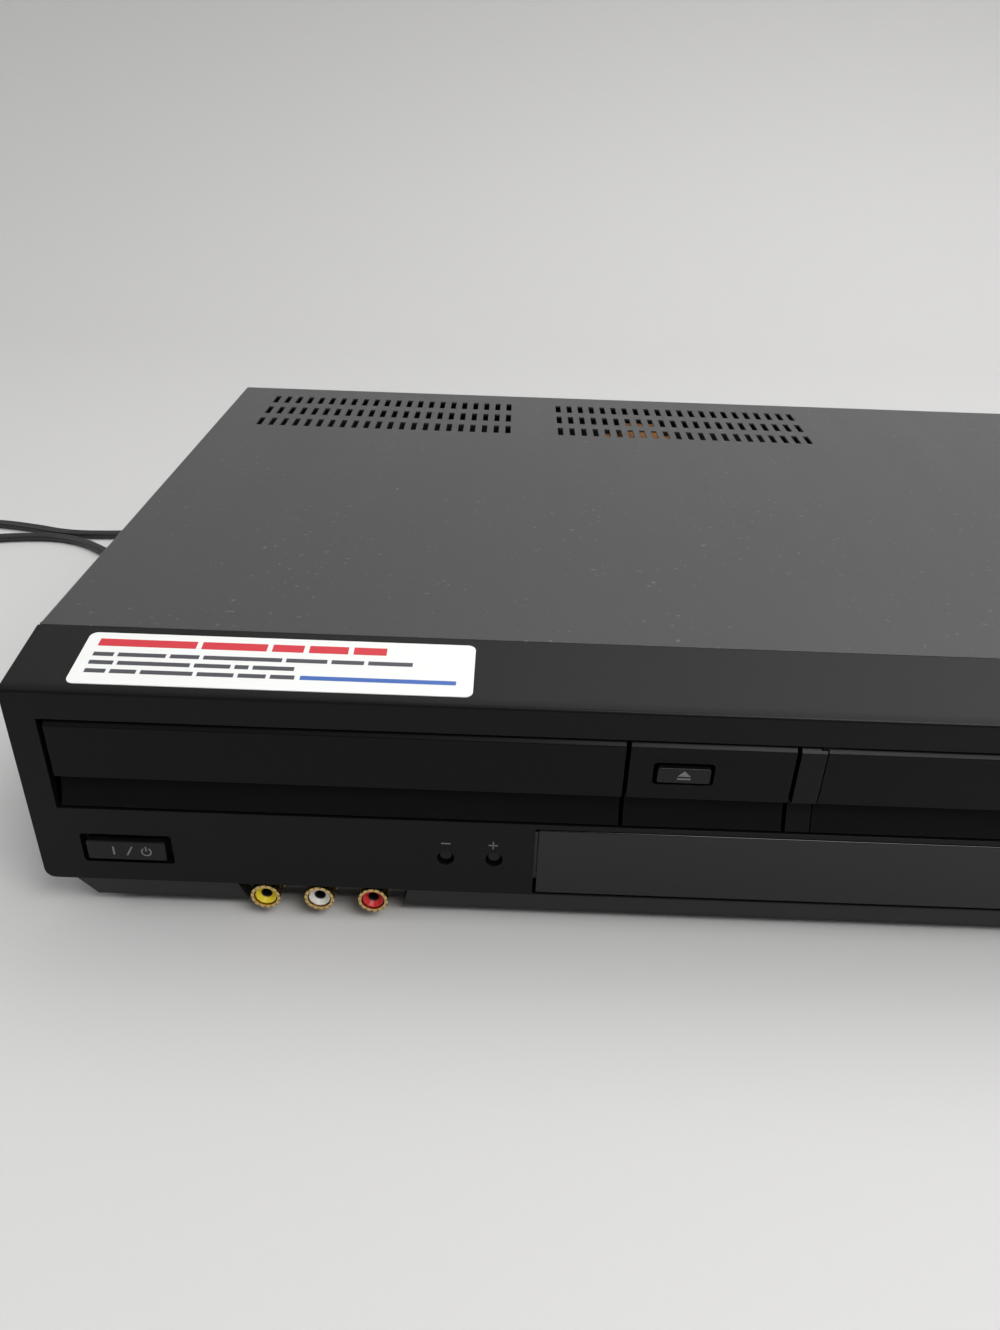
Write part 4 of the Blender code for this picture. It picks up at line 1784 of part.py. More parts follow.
def guide_bases(surface):
    """The two tape guides that run to the drum: a base on the deck plate and a roller post."""
    half_width, half_length = GUIDE_BASE_WIDTH / 2, GUIDE_BASE_LENGTH / 2
    for name, side in (("guide_base_left", -1), ("guide_base_right", 1)):
        origin = deck_spot(side * GUIDE_START_X, GUIDE_START_DEPTH, DECK_TOP + SEAT_GAP)
        left, right = origin.x - half_width, origin.x + half_width
        front, rear = origin.y - half_length, origin.y + half_length
        base = brick(left, right, front, rear, origin.z, origin.z + GUIDE_BASE_HEIGHT)
        start = origin + Vector((0, 0, GUIDE_BASE_HEIGHT - SEAT_GAP))
        post = rod(start, "Z", GUIDE_POST_HEIGHT, GUIDE_POST_RADIUS)
        piece(name, surface, [base], ((ADD, [post]),), origin=origin)


def cord_gland(surface):
    """The strain relief that the cord leaves the rear panel through."""
    inner = REAR_OUTSIDE - GLAND_NECK_LENGTH
    seat = REAR_OUTSIDE + SEAT_GAP
    flange_end = seat + GLAND_FLANGE_THICKNESS
    profile = [
        (0, inner),
        (GLAND_NECK_RADIUS, inner),
        (GLAND_NECK_RADIUS, seat),
        (GLAND_FLANGE_RADIUS, seat),
        (GLAND_FLANGE_RADIUS, flange_end),
        (GLAND_TAIL_RADIUS, flange_end),
        (GLAND_TIP_RADIUS, GLAND_END),
        (0, GLAND_END),
    ]
    place = spot(CORD_EXIT_LEFT, 0, CORD_EXIT_HEIGHT)
    piece("cord_gland", surface, [turned(profile, place, "Y", ROD_SIDES_COUNT)], smooth=True)


def spline_point(before, start, end, after, t):
    """A point between start and end on the smooth curve through four route points."""
    out = 2 * start + (end - before) * t
    out += (2 * before - 5 * start + 4 * end - after) * t * t
    out += (3 * start - before - 3 * end + after) * t * t * t
    return out / 2


def cord_line():
    """Evenly spaced points along the smooth curve through the cord's route, with straight ends."""
    start = spot(CORD_EXIT_LEFT, GLAND_END + SEAT_GAP, CORD_EXIT_HEIGHT)
    end = coil_points()[0] - Vector((SEAT_GAP, 0, 0))
    leave, reach = Vector((0, 2 * CORD_RADIUS, 0)), Vector((2 * CORD_RADIUS, 0, 0))
    route = [start, start + leave, *(spot(*place) for place in CORD_ROUTE), end - reach, end]
    fine_count = 24
    fine = []
    for i in range(1, len(route) - 2):
        for k in range(fine_count):
            fine.append(spline_point(*route[i - 1 : i + 3], k / fine_count))
    fine.append(end - reach)
    lengths = [0]
    for a, b in zip(fine, fine[1:]):
        lengths.append(lengths[-1] + (b - a).length)
    count = math.ceil(lengths[-1] / CORD_SPACING)
    line = [start]
    at = 0
    for k in range(count + 1):
        wanted = lengths[-1] * k / count
        while at < len(lengths) - 2 and lengths[at + 1] < wanted:
            at += 1
        share = (wanted - lengths[at]) / (lengths[at + 1] - lengths[at])
        line.append(fine[at].lerp(fine[at + 1], share))
    return [*line, end]


def coil_points():
    """The coil's middle line: two turns in on the table, a climb, and two turns out on top."""
    centre = spot(COIL_CENTRE_LEFT, COIL_CENTRE_BACK, CORD_FLOOR)
    steps = COIL_LOOP_POINTS_COUNT
    inward = COIL_TURNS_COUNT
    points = []
    total = (2 * inward + 1 / 2) * steps
    for k in range(round(total) + 1):
        turns = k / steps
        radius = COIL_RADIUS - COIL_STEP * min(turns, total / steps - turns)
        climb = min(max((turns - inward) * 2, 0), 1)
        angle = math.tau * (turns - 1 / 4)
        offset = Vector((radius * math.cos(angle), radius * math.sin(angle), climb * COIL_LAYER_STEP))
        points.append(centre + offset)
    first, last = points[0], points[-1]
    start = [first - Vector((2 * CORD_RADIUS * k, 0, 0)) for k in (1, 1 / 2)]
    tail = [last - Vector((COIL_TAIL * k, 0, 0)) for k in (1 / 2, 1)]
    return start + points + tail


def length_of(points):
    """The length of a line through points."""
    return sum((b - a).length for a, b in zip(points, points[1:]))


def least_gap(points):
    """The least gap between the tube's surface and another part of itself, from finer points."""
    fine = []
    for a, b in zip(points, points[1:]):
        fine += [a, (a + b) / 2]
    apart = math.ceil(4 * CORD_RADIUS / (fine[1] - fine[0]).length) + 4
    least = min((p - q).length for i, p in enumerate(fine) for q in fine[i + apart :])
    return least - 2 * CORD_RADIUS


def tube(name, surface, points, resolution):
    """A round tube along points, with closed ends."""
    curve = bpy.data.curves.new(name, "CURVE")
    curve.dimensions = "3D"
    curve.bevel_depth = CORD_RADIUS
    curve.bevel_resolution = resolution
    curve.use_fill_caps = True
    spline = curve.splines.new("POLY")
    spline.points.add(len(points) - 1)
    for target, point in zip(spline.points, points):
        target.co = (*point, 1)
    curve.materials.append(surface)
    made = bpy.data.objects.new(name, curve)
    bpy.context.scene.collection.objects.link(made)


def power_plug(surface):
    """The moulded plug with its relief and two blades, lying beside the coil."""
    end = coil_points()[-1]
    start = end.x - SEAT_GAP
    rear = start - PLUG_RELIEF_LENGTH
    front = rear - PLUG_LENGTH
    overlap = OVERRUN / 2
    place = Vector((start, end.y, end.z))
    relief = rod(place, "X", -PLUG_RELIEF_LENGTH - overlap, PLUG_RELIEF_RADIUS)
    left, right = end.y - PLUG_WIDTH / 2, end.y + PLUG_WIDTH / 2
    body = brick(front, rear, left, right, end.z - PLUG_HEIGHT / 2, end.z + PLUG_HEIGHT / 2)
    blades = []
    low, high = end.z - BLADE_HEIGHT / 2, end.z + BLADE_HEIGHT / 2
    for side in (-1, 1):
        y = end.y + side * BLADE_PITCH / 2
        left, right = y - BLADE_THICKNESS / 2, y + BLADE_THICKNESS / 2
        blades.append(brick(front - BLADE_LENGTH, front + overlap, left, right, low, high))
    piece("power_plug", surface, [body], ((ADD, [relief]), (ADD, blades)))


def build():
    """The whole player."""
    for old in list(bpy.data.objects):
        bpy.data.objects.remove(old, do_unlink=True)
    cover_paint = material("cover_paint", (0.075, 0.075, 0.078), 0.45, 0.2)
    black = material("black_plastic", (0.012, 0.012, 0.013), 0.4)
    dark = material("dark_plastic", (0.03, 0.03, 0.032), 0.5)
    steel = material("steel", (0.55, 0.56, 0.58), 0.35, 1.0)
    polished = material("polished_steel", (0.75, 0.76, 0.78), 0.15, 1.0)
    gold = material("gold_plate", (0.83, 0.6, 0.25), 0.25, 1.0)
    smoke = material("smoked_window", (0.015, 0.015, 0.018), 0.08)
    paper = material("sticker_paper", (0.86, 0.87, 0.84), 0.5)
    yellow = material("yellow_plastic", (0.85, 0.7, 0.03), 0.4)
    white = material("white_plastic", (0.85, 0.84, 0.78), 0.4)
    red = material("red_plastic", (0.75, 0.03, 0.03), 0.4)
    board = material("circuit_board", (0.03, 0.16, 0.06), 0.5)
    brown_board = material("power_board", (0.35, 0.2, 0.07), 0.6)
    tape = material("transformer_tape", (0.62, 0.27, 0.06), 0.5)
    grey = material("grey_plastic", (0.3, 0.3, 0.31), 0.55)
    rubber = material("rubber", (0.02, 0.02, 0.02), 0.8)
    top_cover(cover_paint)
    cover_screws(dark)
    feet(rubber)
    chassis_pan(steel)
    rear_panel(cover_paint)
    front_bezel(black)
    tray_front(black)
    centre_panel(black)
    vcr_door(black)
    display_window(smoke)
    sticker(paper)
    buttons(dark)
    front_board(board)
    front_jacks(gold, yellow, white, red)
    rear_jack_block(black)
    main_board(board)
    power_board(brown_board)
    transformer(tape)
    loader_frame(dark)
    disc_tray(dark)
    drive_gear(white)
    loading_motor(steel, white)
    clamp(steel, grey)
    traverse_frame(steel)
    spindle(steel, grey)
    pickup(polished, dark)
    deck_plate(steel)
    cassette_frame(steel)
    cassette_carriage(grey)
    cassette_holder(steel)
    drum(polished, polished)
    capstan_flywheel(polished)
    pinch_arm(rubber)
    reel_tables(grey)
    guide_bases(dark)
    cord_gland(rubber)
    run, coil = cord_line(), coil_points()
    tube("cord_run", rubber, run, 2)
    tube("cord_coil", rubber, coil, 1)
    print(f"The cord's runs are {length_of(run):.3f} m and {length_of(coil):.3f} m long")
    print(f"The coil's least gap to itself is {least_gap(coil):.5f} m")
    power_plug(rubber)


build()
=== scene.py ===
"""The looks of a DVD and VCR combination player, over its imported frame.

Metres, +Z up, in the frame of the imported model. Places on the player are given in millimetres from
its left side, behind its front face and above the table; at() turns them into metres.
"""

import math

import bmesh
import bpy
import numpy as np
from mathutils import Matrix, Vector


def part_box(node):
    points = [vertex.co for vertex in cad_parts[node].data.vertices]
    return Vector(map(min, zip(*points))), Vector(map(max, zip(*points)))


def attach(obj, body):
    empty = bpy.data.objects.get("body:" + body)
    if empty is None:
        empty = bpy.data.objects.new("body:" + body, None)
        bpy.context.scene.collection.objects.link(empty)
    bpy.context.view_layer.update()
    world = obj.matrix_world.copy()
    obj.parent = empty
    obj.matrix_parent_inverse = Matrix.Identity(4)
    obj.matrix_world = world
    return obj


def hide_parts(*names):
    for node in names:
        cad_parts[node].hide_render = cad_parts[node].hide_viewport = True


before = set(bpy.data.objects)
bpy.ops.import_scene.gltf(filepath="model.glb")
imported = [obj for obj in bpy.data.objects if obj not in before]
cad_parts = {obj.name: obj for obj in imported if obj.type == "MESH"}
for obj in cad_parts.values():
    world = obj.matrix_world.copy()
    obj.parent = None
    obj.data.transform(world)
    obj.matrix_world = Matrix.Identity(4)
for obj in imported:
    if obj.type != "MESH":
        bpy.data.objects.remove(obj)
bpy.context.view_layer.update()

# Places of the housing, in millimetres
HALF_WIDTH = 215.0
FACE_Y = -133.65
FACE_BOTTOM = 12.7
RECESS_BOTTOM = 37.4
FACE_TOP = 74.0
BODY_TOP = 78.0
BODY_DEPTH = 261.0
REAR_FACE = 259.9
JACKS_LEFT = (60.5, 75.5, 90.5)
JACKS_HEIGHT = 8.2
JACK_RADIUS = 4.15
JACK_BLOCK_BEHIND = 6.3
STRIPS_LEFT = (203.75, 417.6)
STRIP_REACH = 3.8
WINDOW_ZONE = (130.0, 304.0)
REAR_JACKS_LEFT = (70.0, 85.0, 100.0)
REAR_JACKS_HEIGHTS = (30.0, 48.0)
REAR_JACK_MOUTH = REAR_FACE + 7.0
BROW_SLOPE = 4.0 / 26.4

# Sizes of the cord, in millimetres
EXIT_LEFT = 28.0
EXIT_BEHIND = 282.5
EXIT_HEIGHT = 35.0
HALF_LEAD_WIDTH = 2.20
HALF_LEAD_THICKNESS = 1.90
COIL_LEFT = 100.0
COIL_BEHIND = 322.0
COIL_RADIUS = 38.0
COIL_STEP = 5.2
COIL_LIFT = 5.0
COIL_TURNS = 4.5
TURN_POINTS = 24
LYING_HEIGHT = 2.5


def at(left, behind, height):
    """A place in metres from millimetres from the left side, behind the face and above the table."""
    return np.array([left - HALF_WIDTH, behind + FACE_Y, height]) / 1000


# Camera, as the photograph was taken
def photo_camera():
    """A camera whose rows are the photograph's right, down and forward directions."""
    right = Vector((0.99934983, 0.02022466, 0.02984745))
    down = Vector((0.03598939, -0.50995149, -0.85944996))
    ahead = Vector((-0.00216133, 0.85996537, -0.51034781))
    data = bpy.data.cameras.new("photo_camera")
    data.sensor_fit = "VERTICAL"
    data.sensor_height = 36.0
    data.lens = 27.002
    data.clip_start = 0.01
    data.clip_end = 20.0
    camera = bpy.data.objects.new("photo_camera", data)
    turn = Matrix((right, -down, -ahead)).transposed().to_4x4()
    camera.matrix_world = Matrix.Translation((-0.09076, -0.33909, 0.2081)) @ turn
    bpy.context.scene.collection.objects.link(camera)
    bpy.context.scene.camera = camera


# Shader maths
class Signal:
    """A socket that can be reckoned with: each sum or product adds a Math node."""

    def __init__(self, finish, socket):
        self.finish = finish
        self.socket = socket

    def reckon(self, operation, *others):
        """The result of a Math node whose first value is this one."""
        return self.finish.node("ShaderNodeMath", {"operation": operation}, [self, *others])

    def __add__(self, other):
        return self.reckon("ADD", other)

    def __sub__(self, other):
        return self.reckon("SUBTRACT", other)

    def __mul__(self, other):
        return self.reckon("MULTIPLY", other)

    def __radd__(self, other):
        return self.reckon("ADD", other)

    def __rmul__(self, other):
        return self.reckon("MULTIPLY", other)

    def __rsub__(self, other):
        return self.reckon("MULTIPLY", -1.0).reckon("ADD", other)

    def over(self, edge, soft=0.0001):
        """1 where the value is over the edge, 0 where it is under, with a soft step between."""
        settings = {"interpolation_type": "SMOOTHSTEP"}
        sockets = {"Value": self, "From Min": edge - soft, "From Max": edge + soft}
        return self.finish.node("ShaderNodeMapRange", settings, sockets)

    def under(self, edge, soft=0.0001):
        """1 where the value is under the edge, with a soft step."""
        return 1 - self.over(edge, soft)


class Finish:
    """One material: its Principled shader, and nodes that are added through node()."""

    def __init__(self, name, colour, roughness, metallic=0.0, **sockets):
        self.material = bpy.data.materials.new(name)
        self.material.use_nodes = True
        self.tree = self.material.node_tree
        self.shader = self.tree.nodes["Principled BSDF"]
        self.set("Base Color", colour)
        self.set("Roughness", roughness)
        self.set("Metallic", metallic)
        for socket, value in sockets.items():
            self.set(socket.replace("_", " "), value)
        self.material.diffuse_color = (*colour, 1.0)

    def put(self, socket, value):
        """Gives a socket a signal, a colour or a number."""
        if isinstance(value, Signal):
            self.tree.links.new(value.socket, socket)
        elif isinstance(value, (tuple, list)) and len(value) == 3 and socket.type == "RGBA":
            socket.default_value = (*value, 1.0)
        else:
            socket.default_value = value

    def set(self, name, value):
        """Sets an input of the Principled shader."""
        self.put(self.shader.inputs[name], value)

    def node(self, kind, settings=None, sockets=(), output=0):
        """Any node: its settings first, then the values or links of its sockets."""
        made = self.tree.nodes.new(kind)
        for name, value in (settings or {}).items():
            setattr(made, name, value)
        pairs = sockets.items() if isinstance(sockets, dict) else enumerate(sockets)
        for key, value in pairs:
            self.put(made.inputs[key], value)
        return Signal(self, made.outputs[output])

    def place(self, scale=(1.0, 1.0, 1.0)):
        """Object coordinates, scaled."""
        base = self.node("ShaderNodeTexCoord", output="Object")
        return self.node("ShaderNodeMapping", {}, {0: base, 3: scale})

    def axes(self):
        """The three object coordinates."""
        parts = self.node("ShaderNodeSeparateXYZ", {}, [self.node("ShaderNodeTexCoord", output="Object")])
        return [Signal(self, parts.socket.node.outputs[i]) for i in range(3)]

    def noise(self, scale, detail=2.0, rough=0.5, stretch=(1.0, 1.0, 1.0)):
        """Noise from 0 to 1 with so many waves in a metre."""
        sockets = {"Vector": self.place(stretch), "Scale": scale, "Detail": detail, "Roughness": rough}
        return self.node("ShaderNodeTexNoise", {}, sockets, output="Fac")

    def mix(self, share, first, second):
        """A colour between two colours. The node's inputs 0, 6 and 7 and output 2 are those for colours."""
        sockets = {0: share, 6: first, 7: second}
        return self.node("ShaderNodeMix", {"data_type": "RGBA"}, sockets, output=2)

    def bump(self, height, depth):
        """Bends the shading as a relief of that depth in metres would."""
        return self.node("ShaderNodeBump", {}, {"Strength": 1.0, "Distance": depth, "Height": height})


def away_from(across, rise):
    """The distance whose two parts are given."""
    return (across * across + rise * rise).reckon("SQRT")


def nearest_column(x, places):
    """How far x is from the nearest of three columns in millimetres from the left side, and two
    signals that are 1 past the middle between the first two and between the last two."""
    first, second, third = (float(at(left, 0, 0)[0]) for left in places)
    past_first = x.over((first + second) / 2, 0.00001)
    past_second = x.over((second + third) / 2, 0.00001)
    across = x - (past_first * (second - first) + past_second * (third - second) + first)
    return across, past_first, past_second


def tinted(colour, factor):
    """A colour made lighter or darker."""
    return tuple(min(1.0, part * factor) for part in colour)


def moulded(name, colour, roughness, grain=2600.0, depth=0.00002, spread=0.06, shine=0.5):
    """Moulded plastic: fine spark-eroded grain, slow changes of gloss, and a little dust."""
    made = Finish(name, colour, roughness, Specular_IOR_Level=shine)
    slow = made.noise(22.0, 3.0)
    fine = made.noise(grain, 2.0)
    made.set("Roughness", slow * (2 * spread) + fine * spread + (roughness - 1.5 * spread))
    dust = made.noise(900.0, 1.0).over(0.74, 0.03) * made.noise(35.0, 2.0).over(0.5, 0.2)
    made.set("Base Color", made.mix(dust * 0.25 + slow * 0.3, colour, tinted(colour, 2.2)))
    made.set("Normal", made.bump(fine, depth))
    return made


def bezel_plastic(name, colour, shine):
    """The front moulding: its low band and its brow are painted paler than the face, a painted reflection
    of the table on the band and painted light from above on the brow.
    """
    made = moulded(name, colour, 0.38, shine=shine)
    _, y, z = made.axes()
    # Mask of the low band, which is painted paler as a painted reflection of the table.
    low = z.under(FACE_BOTTOM / 1000 - 0.0002, 0.0002)
    # Mask of the brow, which is painted paler as painted light on its upward slope.
    brow = z.over(FACE_TOP / 1000 + 0.0003, 0.0003)
    slow = made.noise(22.0, 3.0)
    face = made.mix(slow * 0.4, colour, tinted(colour, 1.7))
    # Painted reflection: the low band gets a paler grey than the face.
    face = made.mix(low, face, (0.020, 0.020, 0.0195))
    # Painted light: the brow gets a paler grey than the face.
    made.set("Base Color", made.mix(brow, face, (0.014, 0.014, 0.0138)))
    made.set("Roughness", slow * 0.1 + low * 0.12 + 0.32)
    return made


def painted_steel(name, colour, roughness):
    """Satin paint on sheet steel: orange peel, faint wiping marks, pale dust, and a soft mottle."""
    made = Finish(name, colour, roughness)
    peel = made.noise(1400.0, 3.0, 0.6)
    slow = made.noise(9.0, 3.0, 0.55)
    wiped = made.noise(30.0, 4.0, 0.6, stretch=(1.0, 0.12, 1.0))
    dust = made.noise(700.0, 0.5).over(0.765, 0.02) * made.noise(28.0, 2.0).over(0.46, 0.16)
    tone = made.mix(slow * 0.5 + wiped * 0.25, tinted(colour, 0.88), tinted(colour, 1.16))
    made.set("Base Color", made.mix(dust * 0.5, tone, tinted(colour, 4.5)))
    made.set("Roughness", wiped * 0.14 + slow * 0.10 + peel * 0.06 + (roughness - 0.15))
    made.set("Normal", made.bump(peel, 0.00003))
    return made


def zinc_sheet(name, colour, roughness):
    """Zinc-plated sheet: a faint crystal pattern, rolling lines and dull patches."""
    made = Finish(name, colour, roughness, 1.0)
    sockets = {"Vector": made.place(), "Scale": 180.0}
    crystal = made.node("ShaderNodeTexVoronoi", {}, sockets, output="Color")
    grey = made.node("ShaderNodeRGBToBW", {}, [crystal])
    rolled = made.noise(60.0, 3.0, stretch=(40.0, 1.0, 1.0))
    dull = made.noise(12.0, 3.0)
    tone = made.mix(grey * 0.35 + rolled * 0.25, tinted(colour, 0.82), tinted(colour, 1.14))
    made.set("Base Color", tone)
    made.set("Roughness", grey * 0.10 + dull * 0.16 + rolled * 0.08 + (roughness - 0.15))
    made.set("Normal", made.bump(rolled, 0.00001))
    return made


def turned_metal(name, colour, roughness, centre):
    """Lathe-turned metal: fine rings about an upright axis, and slight stains."""
    made = Finish(name, colour, roughness, 1.0)
    x, y, _ = made.axes()
    rings = (away_from(x - centre[0], y - centre[1]) * 9000.0).reckon("SINE")
    stain = made.noise(40.0, 3.0)
    made.set("Base Color", made.mix(stain * 0.4, colour, tinted(colour, 0.7)))
    made.set("Roughness", stain * 0.15 + (roughness - 0.05))
    made.set("Normal", made.bump(rings, 0.000004))
    return made


def circuit_board(name, lacquer, top, line=0.9):
    """A lacquered board: copper tracks under the lacquer, solder dots, and dark parts above its top."""
    made = Finish(name, lacquer, 0.35)
    _, _, z = made.axes()
    grid = made.node("ShaderNodeTexBrick", {"offset": 0.35, "squash": 1.0}, {
        "Vector": made.place(), "Scale": 120.0, "Mortar Size": 0.012, "Color1": (0.0, 0.0, 0.0),
        "Color2": (0.25, 0.25, 0.25), "Mortar": (1.0, 1.0, 1.0), "Brick Width": 0.9, "Row Height": 0.22,
    }, output="Fac")
    sockets = {"Vector": made.place(), "Scale": 260.0}
    dots = made.node("ShaderNodeTexVoronoi", {}, sockets, output="Distance")
    solder = dots.under(0.13, 0.03)
    tracks = made.mix(grid * line, lacquer, tinted(lacquer, 2.3))
    flat = made.mix(solder, tracks, (0.55, 0.56, 0.55))
    part = z.over(top, 0.0001)
    body = made.mix(made.noise(45.0, 1.0), (0.012, 0.012, 0.013), (0.035, 0.035, 0.04))
    made.set("Base Color", made.mix(part, flat, body))
    made.set("Roughness", solder * -0.12 + part * 0.12 + 0.36)
    made.set("Metallic", solder * (1 - part))
    made.set("Normal", made.bump(grid + solder, 0.00005))
    return made


def rubbery(name, colour, roughness):
    """Rubber or soft vinyl: a dull skin with a slight bloom."""
    made = Finish(name, colour, roughness)
    bloom = made.noise(60.0, 4.0, 0.6)
    fine = made.noise(900.0, 2.0)
    made.set("Base Color", made.mix(bloom * 0.6, colour, tinted(colour, 2.0)))
    made.set("Roughness", bloom * 0.2 + (roughness - 0.1))
    made.set("Normal", made.bump(fine, 0.00003))
    return made


def jack_plastic(name, colour, left):
    """A coloured jack insert: bright moulded funnel round the hole for the pin, which is painted
    near-black, painted shade in the hole and partly its dark contact.
    """
    made = Finish(name, colour, 0.32)
    x, _, z = made.axes()
    centre = at(left, 0, JACKS_HEIGHT)
    # The pin hole is painted near-black: painted shade inside the hole, partly the dark metal contact in
    # it.
    hole = away_from(x - float(centre[0]), z - float(centre[2])).under(0.00158, 0.00012)
    tone = made.mix(made.noise(300.0, 2.0), tinted(colour, 0.85), colour)
    made.set("Base Color", made.mix(hole, tone, (0.006, 0.006, 0.006)))
    made.set("Roughness", hole * 0.3 + 0.3)
    return made


def jack_rims(name):
    """The front jacks' shells: plated barrels with darker punch marks, on a black moulded block."""
    made = Finish(name, (0.80, 0.58, 0.24), 0.24)
    x, y, z = made.axes()
    across, _, _ = nearest_column(x, JACKS_LEFT)
    rise = z - JACKS_HEIGHT / 1000
    away = away_from(across, rise)
    before = y.under(float(at(0, JACK_BLOCK_BEHIND, 0)[1]), 0.00005)
    barrel = away.under(JACK_RADIUS / 1000 + 0.00017, 0.00006) * before
    turn = rise.reckon("ARCTAN2", across)
    marks = (turn * 14.0).reckon("SINE").over(0.55, 0.2) * away.over(0.0036, 0.0001)
    worn = made.noise(500.0, 3.0)
    plating = made.mix(marks * 0.7 + worn * 0.2, (0.83, 0.60, 0.25), (0.16, 0.08, 0.03))
    made.set("Base Color", made.mix(barrel, (0.006, 0.006, 0.006), plating))
    made.set("Metallic", barrel)
    made.set("Roughness", worn * 0.2 + 0.36 - barrel * 0.2)
    return made


def rear_jack_finish(name):
    """The rear jack block: black plastic, plated barrels, coloured mouths by column, and pin holes painted
    near-black as painted shade.
    """
    made = Finish(name, (0.012, 0.012, 0.013), 0.4)
    x, y, z = made.axes()
    barrel = y.over(float(at(0, REAR_FACE + 0.2, 0)[1]), 0.00005)
    mouth = y.over(float(at(0, REAR_JACK_MOUTH, 0)[1]), 0.00005)
    low, high = REAR_JACKS_HEIGHTS
    row = z.over((low + high) / 2000, 0.00001)
    rise = z - (row * ((high - low) / 1000) + low / 1000)
    across, past_first, past_second = nearest_column(x, REAR_JACKS_LEFT)
    away = away_from(across, rise)
    tone = made.mix(past_first, (0.75, 0.03, 0.03), (0.80, 0.79, 0.73))
    tone = made.mix(past_second, tone, (0.86, 0.66, 0.03))
    inside = away.under(0.0033, 0.0001) * mouth
    # The pin holes are painted near-black: painted shade inside each hole, partly the dark contact in it.
    tone = made.mix(away.under(0.00155, 0.0001), tone, (0.006, 0.006, 0.006))
    metal = barrel * (1 - inside)
    plated = made.mix(metal, (0.012, 0.012, 0.013), (0.78, 0.62, 0.34))
    made.set("Base Color", made.mix(inside, plated, tone))
    made.set("Metallic", metal)
    made.set("Roughness", made.noise(400.0, 2.0) * 0.12 + 0.26)
    return made


def taped_winding(name, centre, half_core, tape_from):
    """The transformer: orange tape round its winding and over its top, and a dark laminated core."""
    made = Finish(name, (0.62, 0.25, 0.05), 0.38)
    x, y, z = made.axes()
    across = (x - centre[0]).reckon("ABSOLUTE")
    wraps = (z * 1400.0).reckon("SINE") * 0.5 + 0.5
    tape = made.mix(wraps * 0.35 + made.noise(90.0, 3.0) * 0.4, (0.66, 0.29, 0.09), (0.40, 0.17, 0.06))
    sheets = (y * 9000.0).reckon("SINE") * 0.5 + 0.5
    core = made.mix(sheets, (0.035, 0.030, 0.027), (0.11, 0.085, 0.06))
    bare = across.under(half_core + 0.0002, 0.0001) * z.under(tape_from, 0.0002)
    made.set("Base Color", made.mix(bare, tape, core))
    made.set("Normal", made.bump(wraps + sheets * 0.4, 0.00008))
    return made


# Surfaces worked out with numpy
def grid_faces(rows, columns, close_rows=False, close_columns=True):
    """Quads between neighbouring points of a grid; either way round may close on itself."""
    i = np.arange(rows if close_rows else rows - 1)
    j = np.arange(columns if close_columns else columns - 1)
    i, j = (part.ravel() for part in np.meshgrid(i, j, indexing="ij"))
    k, n = (i + 1) % rows, (j + 1) % columns
    return np.stack([i * columns + j, i * columns + n, k * columns + n, k * columns + j], axis=1)


def skinned(name, points, faces, finish, body, smooth=True, sharp=None):
    """A mesh from points and faces, turned outwards, which rides on a body."""
    mesh = bpy.data.meshes.new(name)
    flat = [tuple(map(int, face)) for face in faces]
    mesh.from_pydata(np.asarray(points, float).reshape(-1, 3).tolist(), [], flat)
    shape = bmesh.new()
    shape.from_mesh(mesh)
    bmesh.ops.remove_doubles(shape, verts=shape.verts, dist=1e-7)
    bmesh.ops.recalc_face_normals(shape, faces=shape.faces)
    shape.to_mesh(mesh)
    shape.free()
    if smooth:
        mesh.shade_smooth()
        if sharp:
            mesh.set_sharp_from_angle(angle=math.radians(sharp))
    made = bpy.data.objects.new(name, mesh)
    bpy.context.scene.collection.objects.link(made)
    mesh.materials.append(finish.material)
    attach(made, body)
    return made


def turned_points(profile, centre, sides):
    """Points of a profile turned about Y: radius r and way a along Y, at angles 2 pi k / sides."""
    radius, along = np.array(profile, float).T
    angle = 2 * np.pi * np.arange(sides) / sides
    rise = radius[:, None] * np.cos(angle)
    across = radius[:, None] * np.sin(angle)
    way = np.repeat(along[:, None], sides, axis=1)
    return np.stack((across, way, rise), axis=2).reshape(-1, 3) + np.asarray(centre, float)


def capped(rows, columns):
    """A grid's faces that close round, with a flat face at each end."""
    ends = [list(range(columns)), list(range((rows - 1) * columns, rows * columns))]
    return list(grid_faces(rows, columns)) + ends


def plates(outlines, behind, thickness):
    """Thin plates on the face: each outline (left, height) in millimetres is run back by a thickness."""
    points, faces = [], []
    count = 0
    for outline in outlines:
        flat = np.array(outline, float)
        size = len(flat)
        for depth in (behind, behind + thickness):
            points.append(np.stack([flat[:, 0], np.full(size, depth), flat[:, 1]], axis=1))
        ring = np.arange(size)
        after = (ring + 1) % size
        faces.append(list(count + ring))
        faces.append(list(count + size + ring[::-1]))
        sides = np.stack([ring, after, size + after, size + ring], axis=1) + count
        faces.extend(sides.tolist())
        count += 2 * size
    places = np.concatenate(points)
    return (places + np.array([-HALF_WIDTH, FACE_Y, 0])) / 1000, faces


def arc_band(centre, radius, width, start, end):
    """A ring segment as an outline: out along the outer arc and back along the inner one."""
    angle = np.radians(np.linspace(start, end, 28))
    arc = np.stack([np.cos(angle), np.sin(angle)], axis=1)
    band = np.concatenate([arc * (radius + width / 2), arc[::-1] * (radius - width / 2)])
    return band + np.asarray(centre)


def bar(left, right, low, high):
    """A rectangle as an outline."""
    return np.array([[left, low], [right, low], [right, high], [left, high]], float)


def pointer(centre, size, way=1):
    """A triangle that points right, or left with way -1."""
    x, z = centre
    half = size / 2
    return np.array([[x - way * half, z - half], [x + way * half, z], [x - way * half, z + half]])


